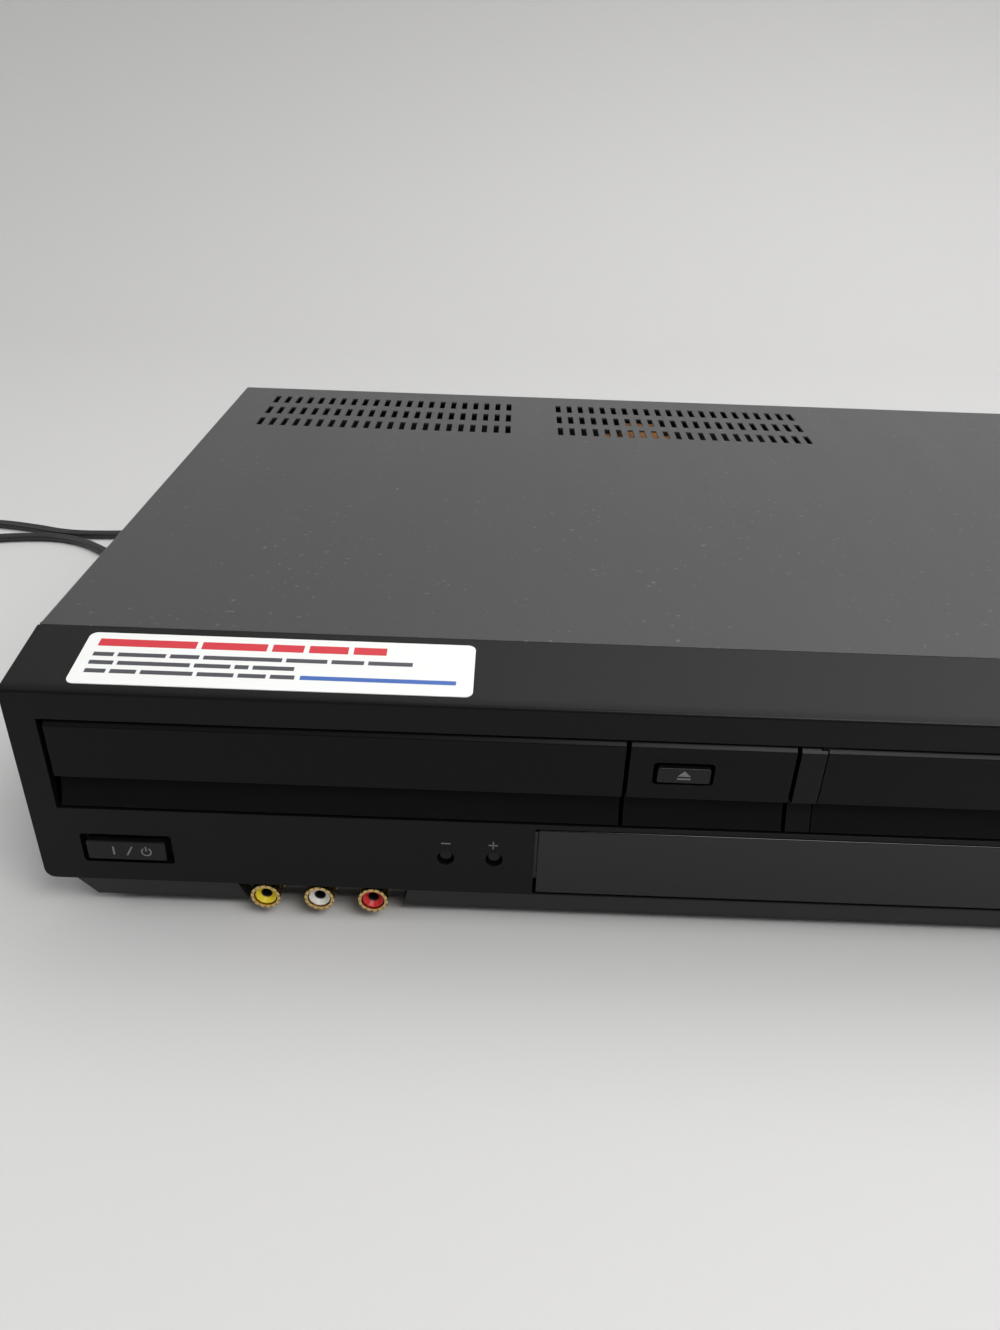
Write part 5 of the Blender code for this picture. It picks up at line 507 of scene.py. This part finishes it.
def settled_normals(mesh):
    """Corner normals of a rounded piece: at each corner the sum of the touching faces' normals times
    their area squared, where flat faces count far more than rounds. Faces within 16 degrees join, and
    up to 50 degrees where one is of a round."""
    count = len(mesh.polygons)
    normals = np.empty(count * 3)
    mesh.polygons.foreach_get("normal", normals)
    normals = normals.reshape(-1, 3)
    areas = np.empty(count)
    mesh.polygons.foreach_get("area", areas)
    sizes = np.empty(count, int)
    mesh.polygons.foreach_get("loop_total", sizes)
    rounds = np.empty(count, bool)
    mesh.polygons.foreach_get("use_smooth", rounds)
    corners = np.empty(len(mesh.loops), int)
    mesh.loops.foreach_get("vertex_index", corners)
    owner = np.repeat(np.arange(count), sizes)
    order = np.argsort(corners, kind="stable")
    starts = np.searchsorted(corners[order], np.arange(len(mesh.vertices) + 1))
    near, wide = math.cos(math.radians(16)), math.cos(math.radians(50))
    weights = areas**2 * np.where(rounds, 1, 1e6)
    made = np.empty((len(corners), 3))
    for vertex in range(len(mesh.vertices)):
        here = order[starts[vertex] : starts[vertex + 1]]
        faces = owner[here]
        likeness = normals[faces] @ normals[faces].T
        either = rounds[faces][:, None] | rounds[faces][None, :]
        joined = (likeness > near) | (either & (likeness > wide))
        made[here] = (joined * weights[faces][None, :]) @ normals[faces]
    length = np.linalg.norm(made, axis=1)[:, None]
    made = np.where(length > 1e-30, made / np.maximum(length, 1e-30), normals[owner])
    mesh.shade_smooth()
    mesh.normals_split_custom_set(made.tolist())


def eased(shape, picked, width, segments):
    """Rounds the picked edges, and marks the new faces as parts of a round."""
    made = bmesh.ops.bevel(
        shape, geom=picked, offset=width, offset_type="OFFSET", segments=segments, profile=0.5,
        affect="EDGES", clamp_overlap=False, loop_slide=False,
    )
    for face in made["faces"]:
        face.smooth = True


def softened(node, body, width, finish, segments=2, folds=None, fold=0.0, eases=None):
    """A copy of a CAD node with its outer corners rounded. Its loose triangles are joined first and
    flat neighbours merged. Edges that folds() picks get a round of their own before the others, of
    which eases() picks those that are rounded."""
    shape = bmesh.new()
    shape.from_mesh(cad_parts[node].data)
    bmesh.ops.remove_doubles(shape, verts=shape.verts, dist=2e-6)
    bmesh.ops.dissolve_limit(shape, angle_limit=math.radians(0.6), verts=shape.verts, edges=shape.edges)
    for face in shape.faces:
        face.smooth = False
    if folds:
        eased(shape, [edge for edge in shape.edges if folds(*(end.co for end in edge.verts))], fold, 4)
    sharp = math.radians(24)
    picked = [
        edge for edge in shape.edges
        if edge.is_manifold and edge.is_convex and edge.calc_face_angle(0.0) > sharp
        and (not eases or eases(*(end.co for end in edge.verts)))
    ]
    eased(shape, picked, width, segments)
    bmesh.ops.triangulate(shape, faces=shape.faces, ngon_method="BEAUTY")
    mesh = bpy.data.meshes.new(f"{node}_soft")
    shape.to_mesh(mesh)
    shape.free()
    mesh.materials.clear()
    mesh.materials.append(finish.material)
    settled_normals(mesh)
    made = bpy.data.objects.new(f"{node}_soft", mesh)
    bpy.context.scene.collection.objects.link(made)
    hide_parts(node)
    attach(made, body)
    return made


def dress(finish, *nodes):
    """Gives CAD nodes a finish."""
    for node in nodes:
        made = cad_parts[node]
        if not made.material_slots:
            made.data.materials.append(finish.material)
        for place in made.material_slots:
            place.link = "OBJECT"
            place.material = finish.material


# Mains cord
def cord_route():
    """The cord's route as in the part: a smooth curve through fixed points on the table, then two
    turns in and two turns out on top of them, each point by radius and angle."""
    start = at(EXIT_LEFT, EXIT_BEHIND, EXIT_HEIGHT)
    places = np.array([
        (27.8, 292, 34.6), (25.4, 298, 32.4), (17.5, 302.5, 27.5), (5, 300.5, 20.5), (-8, 290, 14),
        (-19, 277, 9.2), (-29, 263, 5.2), (-37, 251, 2.9), (-45, 238.5, 2.5), (-54.5, 231, 2.5),
        (-64.5, 231.5, 2.5), (-73.5, 238, 2.5), (-82.5, 244.5, 2.5), (-92.5, 249, 2.5),
        (-104, 251, 2.5), (-120, 249.5, 2.5), (-140, 245, 2.5), (-162, 243, 2.5), (-176, 243.5, 2.5),
        (-186, 248.5, 2.5), (-189.5, 256.5, 2.5), (-186, 264.5, 2.5), (-176, 268.5, 2.5),
        (-163, 268.5, 2.5), (-148, 266.6, 2.5), (-130, 264.5, 2.5), (-114, 261, 2.5),
        (-102, 257.5, 2.5), (-92, 256, 2.5), (-80, 256.3, 2.5), (-65, 258.5, 2.5), (-43, 266.5, 2.5),
        (-18, 277, 2.5), (15, 284, 2.5), (55, 284, 2.5),
    ])
    places = (places + np.array([-HALF_WIDTH, FACE_Y, 0])) / 1000
    centre = at(COIL_LEFT, COIL_BEHIND, LYING_HEIGHT)
    turns = np.arange(COIL_TURNS * TURN_POINTS + 1) / TURN_POINTS
    radius = (COIL_RADIUS - COIL_STEP * np.minimum(turns, COIL_TURNS - turns)) / 1000
    climb = np.clip((turns - 2) * 2, 0, 1) * COIL_LIFT / 1000
    angle = 2 * np.pi * (turns - 0.25)
    coil = np.stack([radius * np.cos(angle), radius * np.sin(angle), climb], axis=1) + centre
    into = coil[0] - np.array([[0.0045, 0, 0], [0.00225, 0, 0]])
    tail = coil[-1] - np.array([[0.012, 0, 0], [0.024, 0, 0]])
    leave = start + np.array([[0, 0, 0], [0, 0.0045, 0]])
    route = np.concatenate([leave, places, into[:1] - np.array([0.0045, 0, 0]), into[:1]])
    step = np.linspace(0, 1, TURN_POINTS, endpoint=False)[:, None]
    before, first, second, after = (route[k : len(route) - 3 + k, None] for k in range(4))
    curve = 2 * first + (second - before) * step
    curve = curve + (2 * before - 5 * first + 4 * second - after) * step**2
    curve = curve + (3 * first - before - 3 * second + after) * step**3
    run = np.concatenate([route[:1], (curve / 2).reshape(-1, 3), route[-2:]])
    line = np.concatenate([run, into[1:], coil, tail])
    return run, line


def evenly(line, spacing):
    """Points along a line, as far apart as given."""
    steps = np.linalg.norm(np.diff(line, axis=0), axis=1)
    keep = np.concatenate([[True], steps > 1e-7])
    line = line[keep]
    way = np.concatenate([[0], np.cumsum(np.linalg.norm(np.diff(line, axis=0), axis=1))])
    places = np.linspace(0, way[-1], int(round(way[-1] / spacing)) + 1)
    return np.stack([np.interp(places, way, line[:, k]) for k in range(3)], axis=1), places


def mains_cord(finish):
    """Flat twin lead: at each point of the route a section with a waist, x = a cos t and
    y = b sin t (1 - g exp(-(cos t / w)^2)), which lies flat on the table and stands on edge in the coil."""
    run, line = cord_route()
    run_length = float(np.linalg.norm(np.diff(run, axis=0), axis=1).sum())
    path, way = evenly(line, spacing=0.0028)
    ahead = np.gradient(path, axis=0)
    ahead /= np.linalg.norm(ahead, axis=1)[:, None]
    side = np.cross(ahead, np.array([0, 0, 1.0]))
    side /= np.linalg.norm(side, axis=1)[:, None]
    up = np.cross(side, ahead)
    rise = np.clip((way - (run_length - 0.11)) / 0.10, 0, 1)
    turn = (rise * rise * (3 - 2 * rise)) * np.pi / 2
    settle = np.clip((way - 0.02) / 0.09, 0, 1)
    drop = 0.00035 * settle * np.cos(turn)
    wide = side * np.cos(turn)[:, None] + up * np.sin(turn)[:, None]
    thin = up * np.cos(turn)[:, None] - side * np.sin(turn)[:, None]
    count = 20
    t = 2 * np.pi * np.arange(count) / count
    across = HALF_LEAD_WIDTH / 1000 * np.cos(t)
    through = HALF_LEAD_THICKNESS / 1000 * np.sign(np.sin(t)) * np.abs(np.sin(t)) ** 0.8
    through = through * (1 - 0.30 * np.exp(-((np.cos(t) / 0.30) ** 2)))
    middle = path - np.array([0, 0, 1.0]) * drop[:, None]
    points = (
        middle[:, None, :]
        + wide[:, None, :] * across[None, :, None]
        + thin[:, None, :] * through[None, :, None]
    )
    rows = len(path)
    made = skinned(
        "mains_cord", points.reshape(-1, 3), capped(rows, count), finish, "player", sharp=60
    )
    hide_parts("cord_run", "cord_coil")
    return made, path


def cord_relief(finish):
    """Strain relief: a flanged bush and a tail whose radius falls in even steps with grooves between."""
    tail = []
    for k in range(6):
        start, radius = 3.2 + 3.1 * k, 4.55 - 0.25 * k
        tail += [(radius - 0.1, start), (radius, start + 0.3), (radius, start + 1.9)]
        tail += [(radius - 0.1, start + 2.1), (radius - 1.1, start + 2.2), (radius - 1.1, start + 3.0)]
    profile = [(4.2, -3.8), (4.2, 0.3), (6.2, 0.3), (6.45, 0.6), (6.45, 1.9), (6.1, 2.3), (4.6, 2.5)]
    profile += tail + [(2.9, 22.0), (2.7, 22.3)]
    points = turned_points(np.array(profile) / 1000, at(EXIT_LEFT, REAR_FACE, EXIT_HEIGHT), sides=28)
    made = skinned("cord_relief", points, capped(len(profile), 28), finish, "player", sharp=40)
    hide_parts("cord_gland")


def superformed(centre, axis_x, half_y, half_z, power, count=32):
    """Rings of a rounded box: at each x the section |y|^p + |z|^p = 1, scaled to its half sizes."""
    t = 2 * np.pi * np.arange(count) / count
    across = np.sign(np.cos(t)) * np.abs(np.cos(t)) ** (2 / power)
    rise = np.sign(np.sin(t)) * np.abs(np.sin(t)) ** (2 / power)
    x = np.repeat(np.array(axis_x)[:, None], count, axis=1)
    y = np.array(half_y)[:, None] * across
    z = np.array(half_z)[:, None] * rise
    return np.stack([x, y, z], axis=2).reshape(-1, 3) / 1000 + np.asarray(centre)


def mains_plug(finish, metal, path):
    """Moulded plug: a rounded body with three finger grooves, its relief, and two blades."""
    end = path[-1]
    along = [0.0, -1.2, -4.0, -7.6, -10.6, -11.3, -12.6, -16.0, -18.0, -19.2, -20.4, -21.6, -22.8]
    half_y = [2.4, 3.1, 3.3, 3.8, 5.0, 6.6, 7.6, 8.2, 8.3, 7.5, 8.3, 7.5, 8.3]
    half_z = [2.2, 2.9, 3.1, 3.5, 4.4, 5.6, 6.4, 6.9, 7.0, 6.3, 7.0, 6.3, 7.0]
    along += [-24.0, -25.2, -26.4, -30.0, -34.0, -35.0, -35.3]
    half_y += [7.5, 8.3, 8.4, 8.5, 8.5, 8.1, 7.2]
    half_z += [6.3, 7.0, 7.1, 7.2, 7.2, 6.8, 5.9]
    points = superformed(end, along, half_y, half_z, 3.4)
    body = skinned("plug_body", points, capped(len(along), 32), finish, "player", sharp=50)
    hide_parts("power_plug")
    x = [-34.5, -49.6, -50.9, -51.3]
    blades = []
    for side in (-1, 1):
        centre = end + np.array([0, side * 0.00635, 0])
        shape = superformed(centre, x, [0.75, 0.75, 0.55, 0.3], [3.1, 3.1, 2.7, 2.2], 8.0, 20)
        name = "plug_blade_left" if side < 0 else "plug_blade_right"
        blades.append(skinned(name, shape, capped(len(x), 20), metal, "player", sharp=40))
    return [body, *blades]


def coil_tie(finish):
    """A thin strap round the coil's bundle: a rounded rectangle in the plane across the turns,
    offset outwards by the strap's thickness, and run along the turns by its width."""
    centre = at(COIL_LEFT, COIL_BEHIND, 0)
    count = 40
    t = 2 * np.pi * np.arange(count) / count
    power = 2 / 5.0
    radial = 0.0331 + 0.0079 * np.sign(np.cos(t)) * np.abs(np.cos(t)) ** power
    level = 0.00505 + 0.00505 * np.sign(np.sin(t)) * np.abs(np.sin(t)) ** power
    rows = []
    for out, side in ((0.0, -2.5), (0.0002, -2.5), (0.0002, 2.5), (0.0, 2.5)):
        away = radial + out * np.cos(t)
        high = np.maximum(level + out * np.sin(t), 0.00002 if out else 0.00012)
        rows.append(np.stack([away, np.full(count, side / 1000), high], axis=1))
    points = np.array(rows).reshape(-1, 3) + centre
    faces = grid_faces(len(rows), count, close_rows=True)
    skinned("coil_tie", points, faces, finish, "player", sharp=60)


# Printed marks
def printed(name, outlines, behind, finish, body):
    """Flat printed marks as plates of almost no thickness."""
    points, faces = plates(outlines, behind, 0.06)
    skinned(name, points, faces, finish, body, smooth=False)


def front_marks(ink):
    """Plain signs: power, open, minus and plus, and the cassette deck's transport signs."""
    level = 24.0
    signs = [bar(20.7, 21.2, level - 1.4, level + 1.4)]
    low, high = level - 1.5, level + 1.5
    signs.append(np.array([[24.2, low], [24.7, low], [26.3, high], [25.8, high]]))
    signs.append(arc_band((29.8, level - 0.1), 1.25, 0.4, 125, 415))
    signs.append(bar(29.6, 30.0, level + 0.1, level + 1.7))
    printed("power_sign", signs, -0.96, ink, "power_key")
    x, z = 171.5, 55.7
    roof = np.array([[x - 1.7, z - 0.1], [x + 1.7, z - 0.1], [x, z + 1.6]])
    signs = [roof, bar(x - 1.7, x + 1.7, z - 1.1, z - 0.65)]
    printed("open_sign", signs, -0.86, ink, "open_close_key")
    signs = [bar(109.6, 112.1, 29.75, 30.1)]
    signs += [bar(122.35, 124.85, 29.65, 30.0), bar(123.43, 123.78, 28.55, 31.1)]
    printed("tracking_signs", signs, -0.06, ink, "player")
    level = 29.6
    rewind = [pointer((328.4, level), 2.0, -1), pointer((330.4, level), 2.0, -1)]
    printed("rewind_sign", rewind, -0.86, ink, "rewind_key")
    printed("play_sign", [pointer((355.0, level), 2.4)], -0.86, ink, "play_key")
    forward = [pointer((379.6, level), 2.0), pointer((381.6, level), 2.0)]
    printed("fast_forward_sign", forward, -0.86, ink, "fast_forward_key")
    level = 19.6
    signs = [bar(351.4, 353.4, level - 1.0, level + 1.0), bar(356.3, 359.1, level - 1.1, level - 0.7)]
    signs.append(np.array([[356.3, level - 0.3], [359.1, level - 0.3], [357.7, level + 1.3]]))
    printed("stop_sign", signs, -0.86, ink, "stop_eject_key")


def brow_sticker(paper, inks):
    """A white label with round corners on the sloping brow, and plain coloured bars as its print.
    Points lie on the slope: height = face top + slope x depth, lifted by the film's thickness."""
    def over(left, behind, lift):
        left, behind = np.broadcast_arrays(np.asarray(left, float), np.asarray(behind, float))
        columns = [left, behind, FACE_TOP + BROW_SLOPE * behind + lift]
        return (np.stack(columns, axis=-1) + np.array([-HALF_WIDTH, FACE_Y, 0])) / 1000

    corners = np.array([(15.6, 3.1), (117.2, 3.1), (117.2, 23.5), (15.6, 23.5)])
    angle = np.radians(np.linspace(0, 90, 7))
    outline = []
    for k, (x, y) in enumerate(corners):
        turn = np.radians((180, 270, 0, 90)[k])
        inward = np.array([(1, 1), (-1, 1), (-1, -1), (1, -1)][k]) * 2.0
        way = np.stack([np.cos(turn + angle), np.sin(turn + angle)], axis=1) * 2.0
        outline.append(np.array([x, y]) + inward + way)
    outline = np.concatenate(outline)
    size = len(outline)
    points = np.concatenate([over(outline[:, 0], outline[:, 1], lift) for lift in (0.10, 0.30)])
    ring = np.arange(size)
    after = (ring + 1) % size
    faces = [list(ring), list(size + ring[::-1])]
    faces += np.stack([ring, after, size + after, size + ring], axis=1).tolist()
    label = skinned("label_film", points, faces, paper, "player", smooth=False)
    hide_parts("sticker")
    bars = {"red": [], "grey": [], "blue": []}
    x = 19.0
    for width in (25.5, 17.0, 8.2, 10.2, 8.6):
        bars["red"].append((x, x + width, 18.0, 20.9))
        x += width + 1.4
    rows = (
        (13.9, 15.4, (6.0, 14.0, 8.5, 23.0, 12.0, 9.5, 13.0)),
        (10.6, 12.1, (7.0, 21.0, 10.5, 4.0, 12.0)),
        (7.3, 8.8, (6.0, 7.5, 15.0, 10.5, 8.0, 7.0)),
    )
    for low, high, widths in rows:
        x = 19.0
        for width in widths:
            bars["grey"].append((x, x + width * 0.88, low, high))
            x += width * 0.88 + 1.1
    bars["blue"].append((x + 0.3, 112.8, 7.3, 8.8))
    for colour, boxes in bars.items():
        boxes = np.array(boxes)
        cells = boxes[:, [0, 1, 1, 0]], boxes[:, [2, 2, 3, 3]]
        tops = over(cells[0], cells[1], 0.36).reshape(-1, 3)
        lows = over(cells[0], cells[1], 0.28).reshape(-1, 3)
        count = len(boxes)
        base = 4 * np.arange(count)[:, None]
        top = base + np.arange(4)
        low = top + 4 * count
        after = base + (np.arange(4) + 1) % 4
        walls = np.stack([low, low - top + after, after, top], axis=2).reshape(-1, 4)
        faces = top.tolist() + low[:, ::-1].tolist() + walls.tolist()
        skinned(
            f"label_bars_{colour}", np.concatenate([tops, lows]), faces, inks[colour], "player",
            smooth=False,
        )


# Room
def room(floor_finish):
    """A floor that bends up into a backdrop: flat, then a quarter circle, then upright."""
    bend, back = 0.35, 0.55
    angle = np.linspace(0, np.pi / 2, 20)
    y = np.concatenate([[-2.5], back + bend * np.sin(angle), [back + bend]])
    z = np.concatenate([[0.0], bend * (1 - np.cos(angle)), [2.5]])
    x = np.array([-3.0, 3.0])
    points = np.stack([np.repeat(x, len(y)), np.tile(y, 2), np.tile(z, 2)], axis=1)
    faces = grid_faces(2, len(y), close_columns=False)
    mesh = bpy.data.meshes.new("room")
    mesh.from_pydata(points.tolist(), [], faces[:, ::-1].tolist())
    mesh.shade_smooth()
    made = bpy.data.objects.new("room", mesh)
    mesh.materials.append(floor_finish.material)
    bpy.context.scene.collection.objects.link(made)


def area_lamp(name, place, aim, size, power, tint=(1.0, 1.0, 1.0)):
    """A soft square lamp that faces a place."""
    data = bpy.data.lights.new(name, "AREA")
    data.shape = "RECTANGLE"
    data.size, data.size_y = size
    data.energy = power
    data.color = tint
    lamp = bpy.data.objects.new(name, data)
    ahead = Vector(aim) - Vector(place)
    lamp.matrix_world = Matrix.Translation(place) @ ahead.to_track_quat("-Z", "Y").to_matrix().to_4x4()
    bpy.context.scene.collection.objects.link(lamp)


def lighting():
    """Pale soft light from above and behind, and little from the front."""
    world = bpy.data.worlds.new("studio")
    world.use_nodes = True
    tree = world.node_tree
    back = tree.nodes["Background"]
    back.inputs["Color"].default_value = (0.82, 0.82, 0.84, 1.0)
    ways = tree.nodes.new("ShaderNodeTexCoord")
    parts = tree.nodes.new("ShaderNodeVectorMath")
    parts.operation = "DOT_PRODUCT"
    parts.inputs[1].default_value = (0.15, 0.60, 1.0)
    rise = tree.nodes.new("ShaderNodeMapRange")
    rise.interpolation_type = "SMOOTHSTEP"
    limits = {"From Min": -0.35, "From Max": 0.75, "To Min": 0.04, "To Max": 0.80}
    for socket, value in limits.items():
        rise.inputs[socket].default_value = value
    tree.links.new(ways.outputs["Generated"], parts.inputs[0])
    tree.links.new(parts.outputs["Value"], rise.inputs[0])
    tree.links.new(rise.outputs[0], back.inputs["Strength"])
    bpy.context.scene.world = world
    area_lamp("ceiling", (0.55, 0.55, 1.35), (0.15, 0.15, 0.0), (1.6, 1.2), 15.0)
    area_lamp("front_ceiling", (0.45, -0.75, 1.15), (0.05, -0.1, 0.05), (0.7, 0.5), 10.0)
    area_lamp("left_wall", (-1.5, -0.2, 0.9), (0.0, 0.0, 0.05), (1.0, 1.0), 4.0, (0.96, 0.98, 1.0))


def housing(paint, black, panels):
    """The housing's outer pieces with rounded corners."""
    near = 0.00001

    def cover_folds(first, second):
        low, high = sorted((first.z, second.z))
        side = abs(first.x + second.x) > 2 * HALF_WIDTH / 1000 - near
        rear = min(first.y, second.y) > at(0, BODY_DEPTH, 0)[1] - near
        top = low > BODY_TOP / 1000 - near
        return (top and (side or rear)) or (side and rear and high - low > 0.01)

    def bezel_folds(first, second):
        front = max(first.y, second.y) < at(0, 0, 0)[1] + near
        return front and all(abs(end.z - FACE_TOP / 1000) < near for end in (first, second))

    def bezel_eases(first, second):
        middle = (first + second) / 2
        left, high = middle.x * 1000 + HALF_WIDTH, middle.z * 1000
        by_strip = min(abs(left - place) for place in STRIPS_LEFT) < STRIP_REACH
        strip = high > RECESS_BOTTOM and by_strip
        window = high < RECESS_BOTTOM - 1 and WINDOW_ZONE[0] < left < WINDOW_ZONE[1]
        return (first - second).length > 0.004 and not strip and not window

    softened("top_cover", "player", 0.00012, paint, 1, cover_folds, 0.0009)
    softened("rear_panel", "player", 0.00012, paint, 1)
    softened("front_bezel", "player", 0.00016, black, 2, bezel_folds, 0.0009, bezel_eases)
    softened("tray_front", "tray", 0.00022, panels)
    softened("centre_panel", "player", 0.00016, panels)
    softened("vcr_door", "cassette_door", 0.00018, panels)


def cord_pieces():
    """The lead with its strain relief, plug and tie."""
    vinyl = rubbery("cord_vinyl", (0.012, 0.012, 0.013), 0.42)
    cord, path = mains_cord(vinyl)
    cord_relief(vinyl)
    plated = Finish("blade_plating", (0.72, 0.70, 0.64), 0.28, 1.0)
    plug = mains_plug(vinyl, plated, path)
    coil_tie(rubbery("tie_strap", (0.02, 0.02, 0.02), 0.6))


def outer_pieces():
    """The housing, its buttons and its window."""
    paint = painted_steel("cover_paint", (0.050, 0.050, 0.051), 0.40)
    black = bezel_plastic("bezel_plastic", (0.0030, 0.0030, 0.0031), 0.16)
    panels = moulded("panel_plastic", (0.0026, 0.0026, 0.0027), 0.34, shine=0.12)
    housing(paint, black, panels)

    buttons = moulded("button_plastic", (0.004, 0.004, 0.0042), 0.26, 3600.0, shine=0.25)
    for key, node in (
        ("power_key", "power_button"), ("open_close_key", "open_close_button"),
        ("rewind_key", "rewind_button"), ("play_key", "play_button"),
        ("fast_forward_key", "fast_forward_button"), ("stop_eject_key", "stop_eject_button"),
    ):
        softened(node, key, 0.00030, buttons, 3)
    dress(buttons, "tracking_minus_button", "tracking_plus_button")
    window = Finish("window_acrylic", (0.0035, 0.0035, 0.0042), 0.07, Specular_IOR_Level=0.42)
    window.set("Roughness", window.noise(18.0, 3.0) * 0.06 + 0.05)
    softened("display_window", "player", 0.00036, window, 3)


def marks():
    """The printed signs and the sticker."""
    ink = Finish("sign_ink", (0.16, 0.16, 0.155), 0.5)
    ink.set("Base Color", ink.mix(ink.noise(2500.0, 2.0), (0.10, 0.10, 0.10), (0.21, 0.21, 0.20)))
    front_marks(ink)
    paper = Finish("label_paper", (0.80, 0.81, 0.78), 0.42)
    paper.set("Base Color", paper.mix(paper.noise(60.0, 3.0) * 0.5, (0.82, 0.83, 0.80), (0.76, 0.77, 0.75)))
    inks = {
        "red": Finish("label_red", (0.60, 0.035, 0.05), 0.4),
        "grey": Finish("label_grey", (0.07, 0.07, 0.08), 0.4),
        "blue": Finish("label_blue", (0.05, 0.13, 0.42), 0.4),
    }
    brow_sticker(paper, inks)


def inner_pieces():
    """The jacks, and what the housing holds, stands on or is screwed with."""
    dress(jack_rims("jack_gold"), "front_jack_shells")
    dress(jack_plastic("jack_yellow", (0.80, 0.62, 0.02), JACKS_LEFT[0]), "jack_insert_yellow")
    dress(jack_plastic("jack_white", (0.74, 0.72, 0.66), JACKS_LEFT[1]), "jack_insert_white")
    dress(jack_plastic("jack_red", (0.62, 0.02, 0.025), JACKS_LEFT[2]), "jack_insert_red")
    dress(rear_jack_finish("rear_jacks"), "rear_jack_block")

    zinc = zinc_sheet("zinc_sheet", (0.56, 0.57, 0.58), 0.42)
    dress(
        zinc, "chassis_pan", "clamp_bridge", "traverse_frame", "spindle_motor", "loading_motor",
        "deck_plate", "cassette_frame", "cassette_holder",
    )
    dress(zinc_sheet("blackened_screw", (0.05, 0.05, 0.055), 0.45), "cover_screw_left", "cover_screw_right")
    dress(circuit_board("green_board", (0.012, 0.085, 0.03), 0.0123), "main_board")
    dress(circuit_board("front_board_lacquer", (0.006, 0.026, 0.012), 1.0, 0.4), "front_board")
    dress(circuit_board("brown_board", (0.16, 0.085, 0.03), 0.0123), "power_board")
    low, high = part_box("transformer")
    middle = (low + high) / 2
    dress(taped_winding("winding_tape", (middle.x, middle.y), 0.009, high.z - 0.005), "transformer")
    dark = moulded("loader_plastic", (0.022, 0.022, 0.023), 0.5, 1800.0)
    dress(dark, "loader_frame", "disc_tray", "pickup_sled", "guide_base_left", "guide_base_right")
    grey = moulded("grey_plastic", (0.22, 0.22, 0.23), 0.5, 1800.0)
    dress(grey, "clamp_puck", "turntable", "cassette_carriage", "supply_reel_table", "takeup_reel_table")
    white = moulded("gear_plastic", (0.72, 0.71, 0.66), 0.42, 1500.0)
    dress(white, "drive_gear", "motor_pinion")
    tones = {"lower_drum": 0.62, "upper_drum": 0.70, "capstan_flywheel": 0.66, "guide_rod": 0.7}
    for node, tone in tones.items():
        low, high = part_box(node)
        middle = (low + high) / 2
        metal = turned_metal(f"{node}_metal", (tone, tone, tone + 0.01), 0.22, (middle.x, middle.y))
        dress(metal, node)
    rubber = rubbery("foot_rubber", (0.018, 0.018, 0.018), 0.72)
    dress(rubber, "foot_front_left", "foot_front_right", "foot_rear_left", "foot_rear_right", "pinch_arm")


photo_camera()
bpy.context.scene.view_settings.view_transform = "Standard"
cord_pieces()
outer_pieces()
marks()
inner_pieces()
room(Finish("pale_floor", (0.60, 0.595, 0.585), 0.6))
lighting()
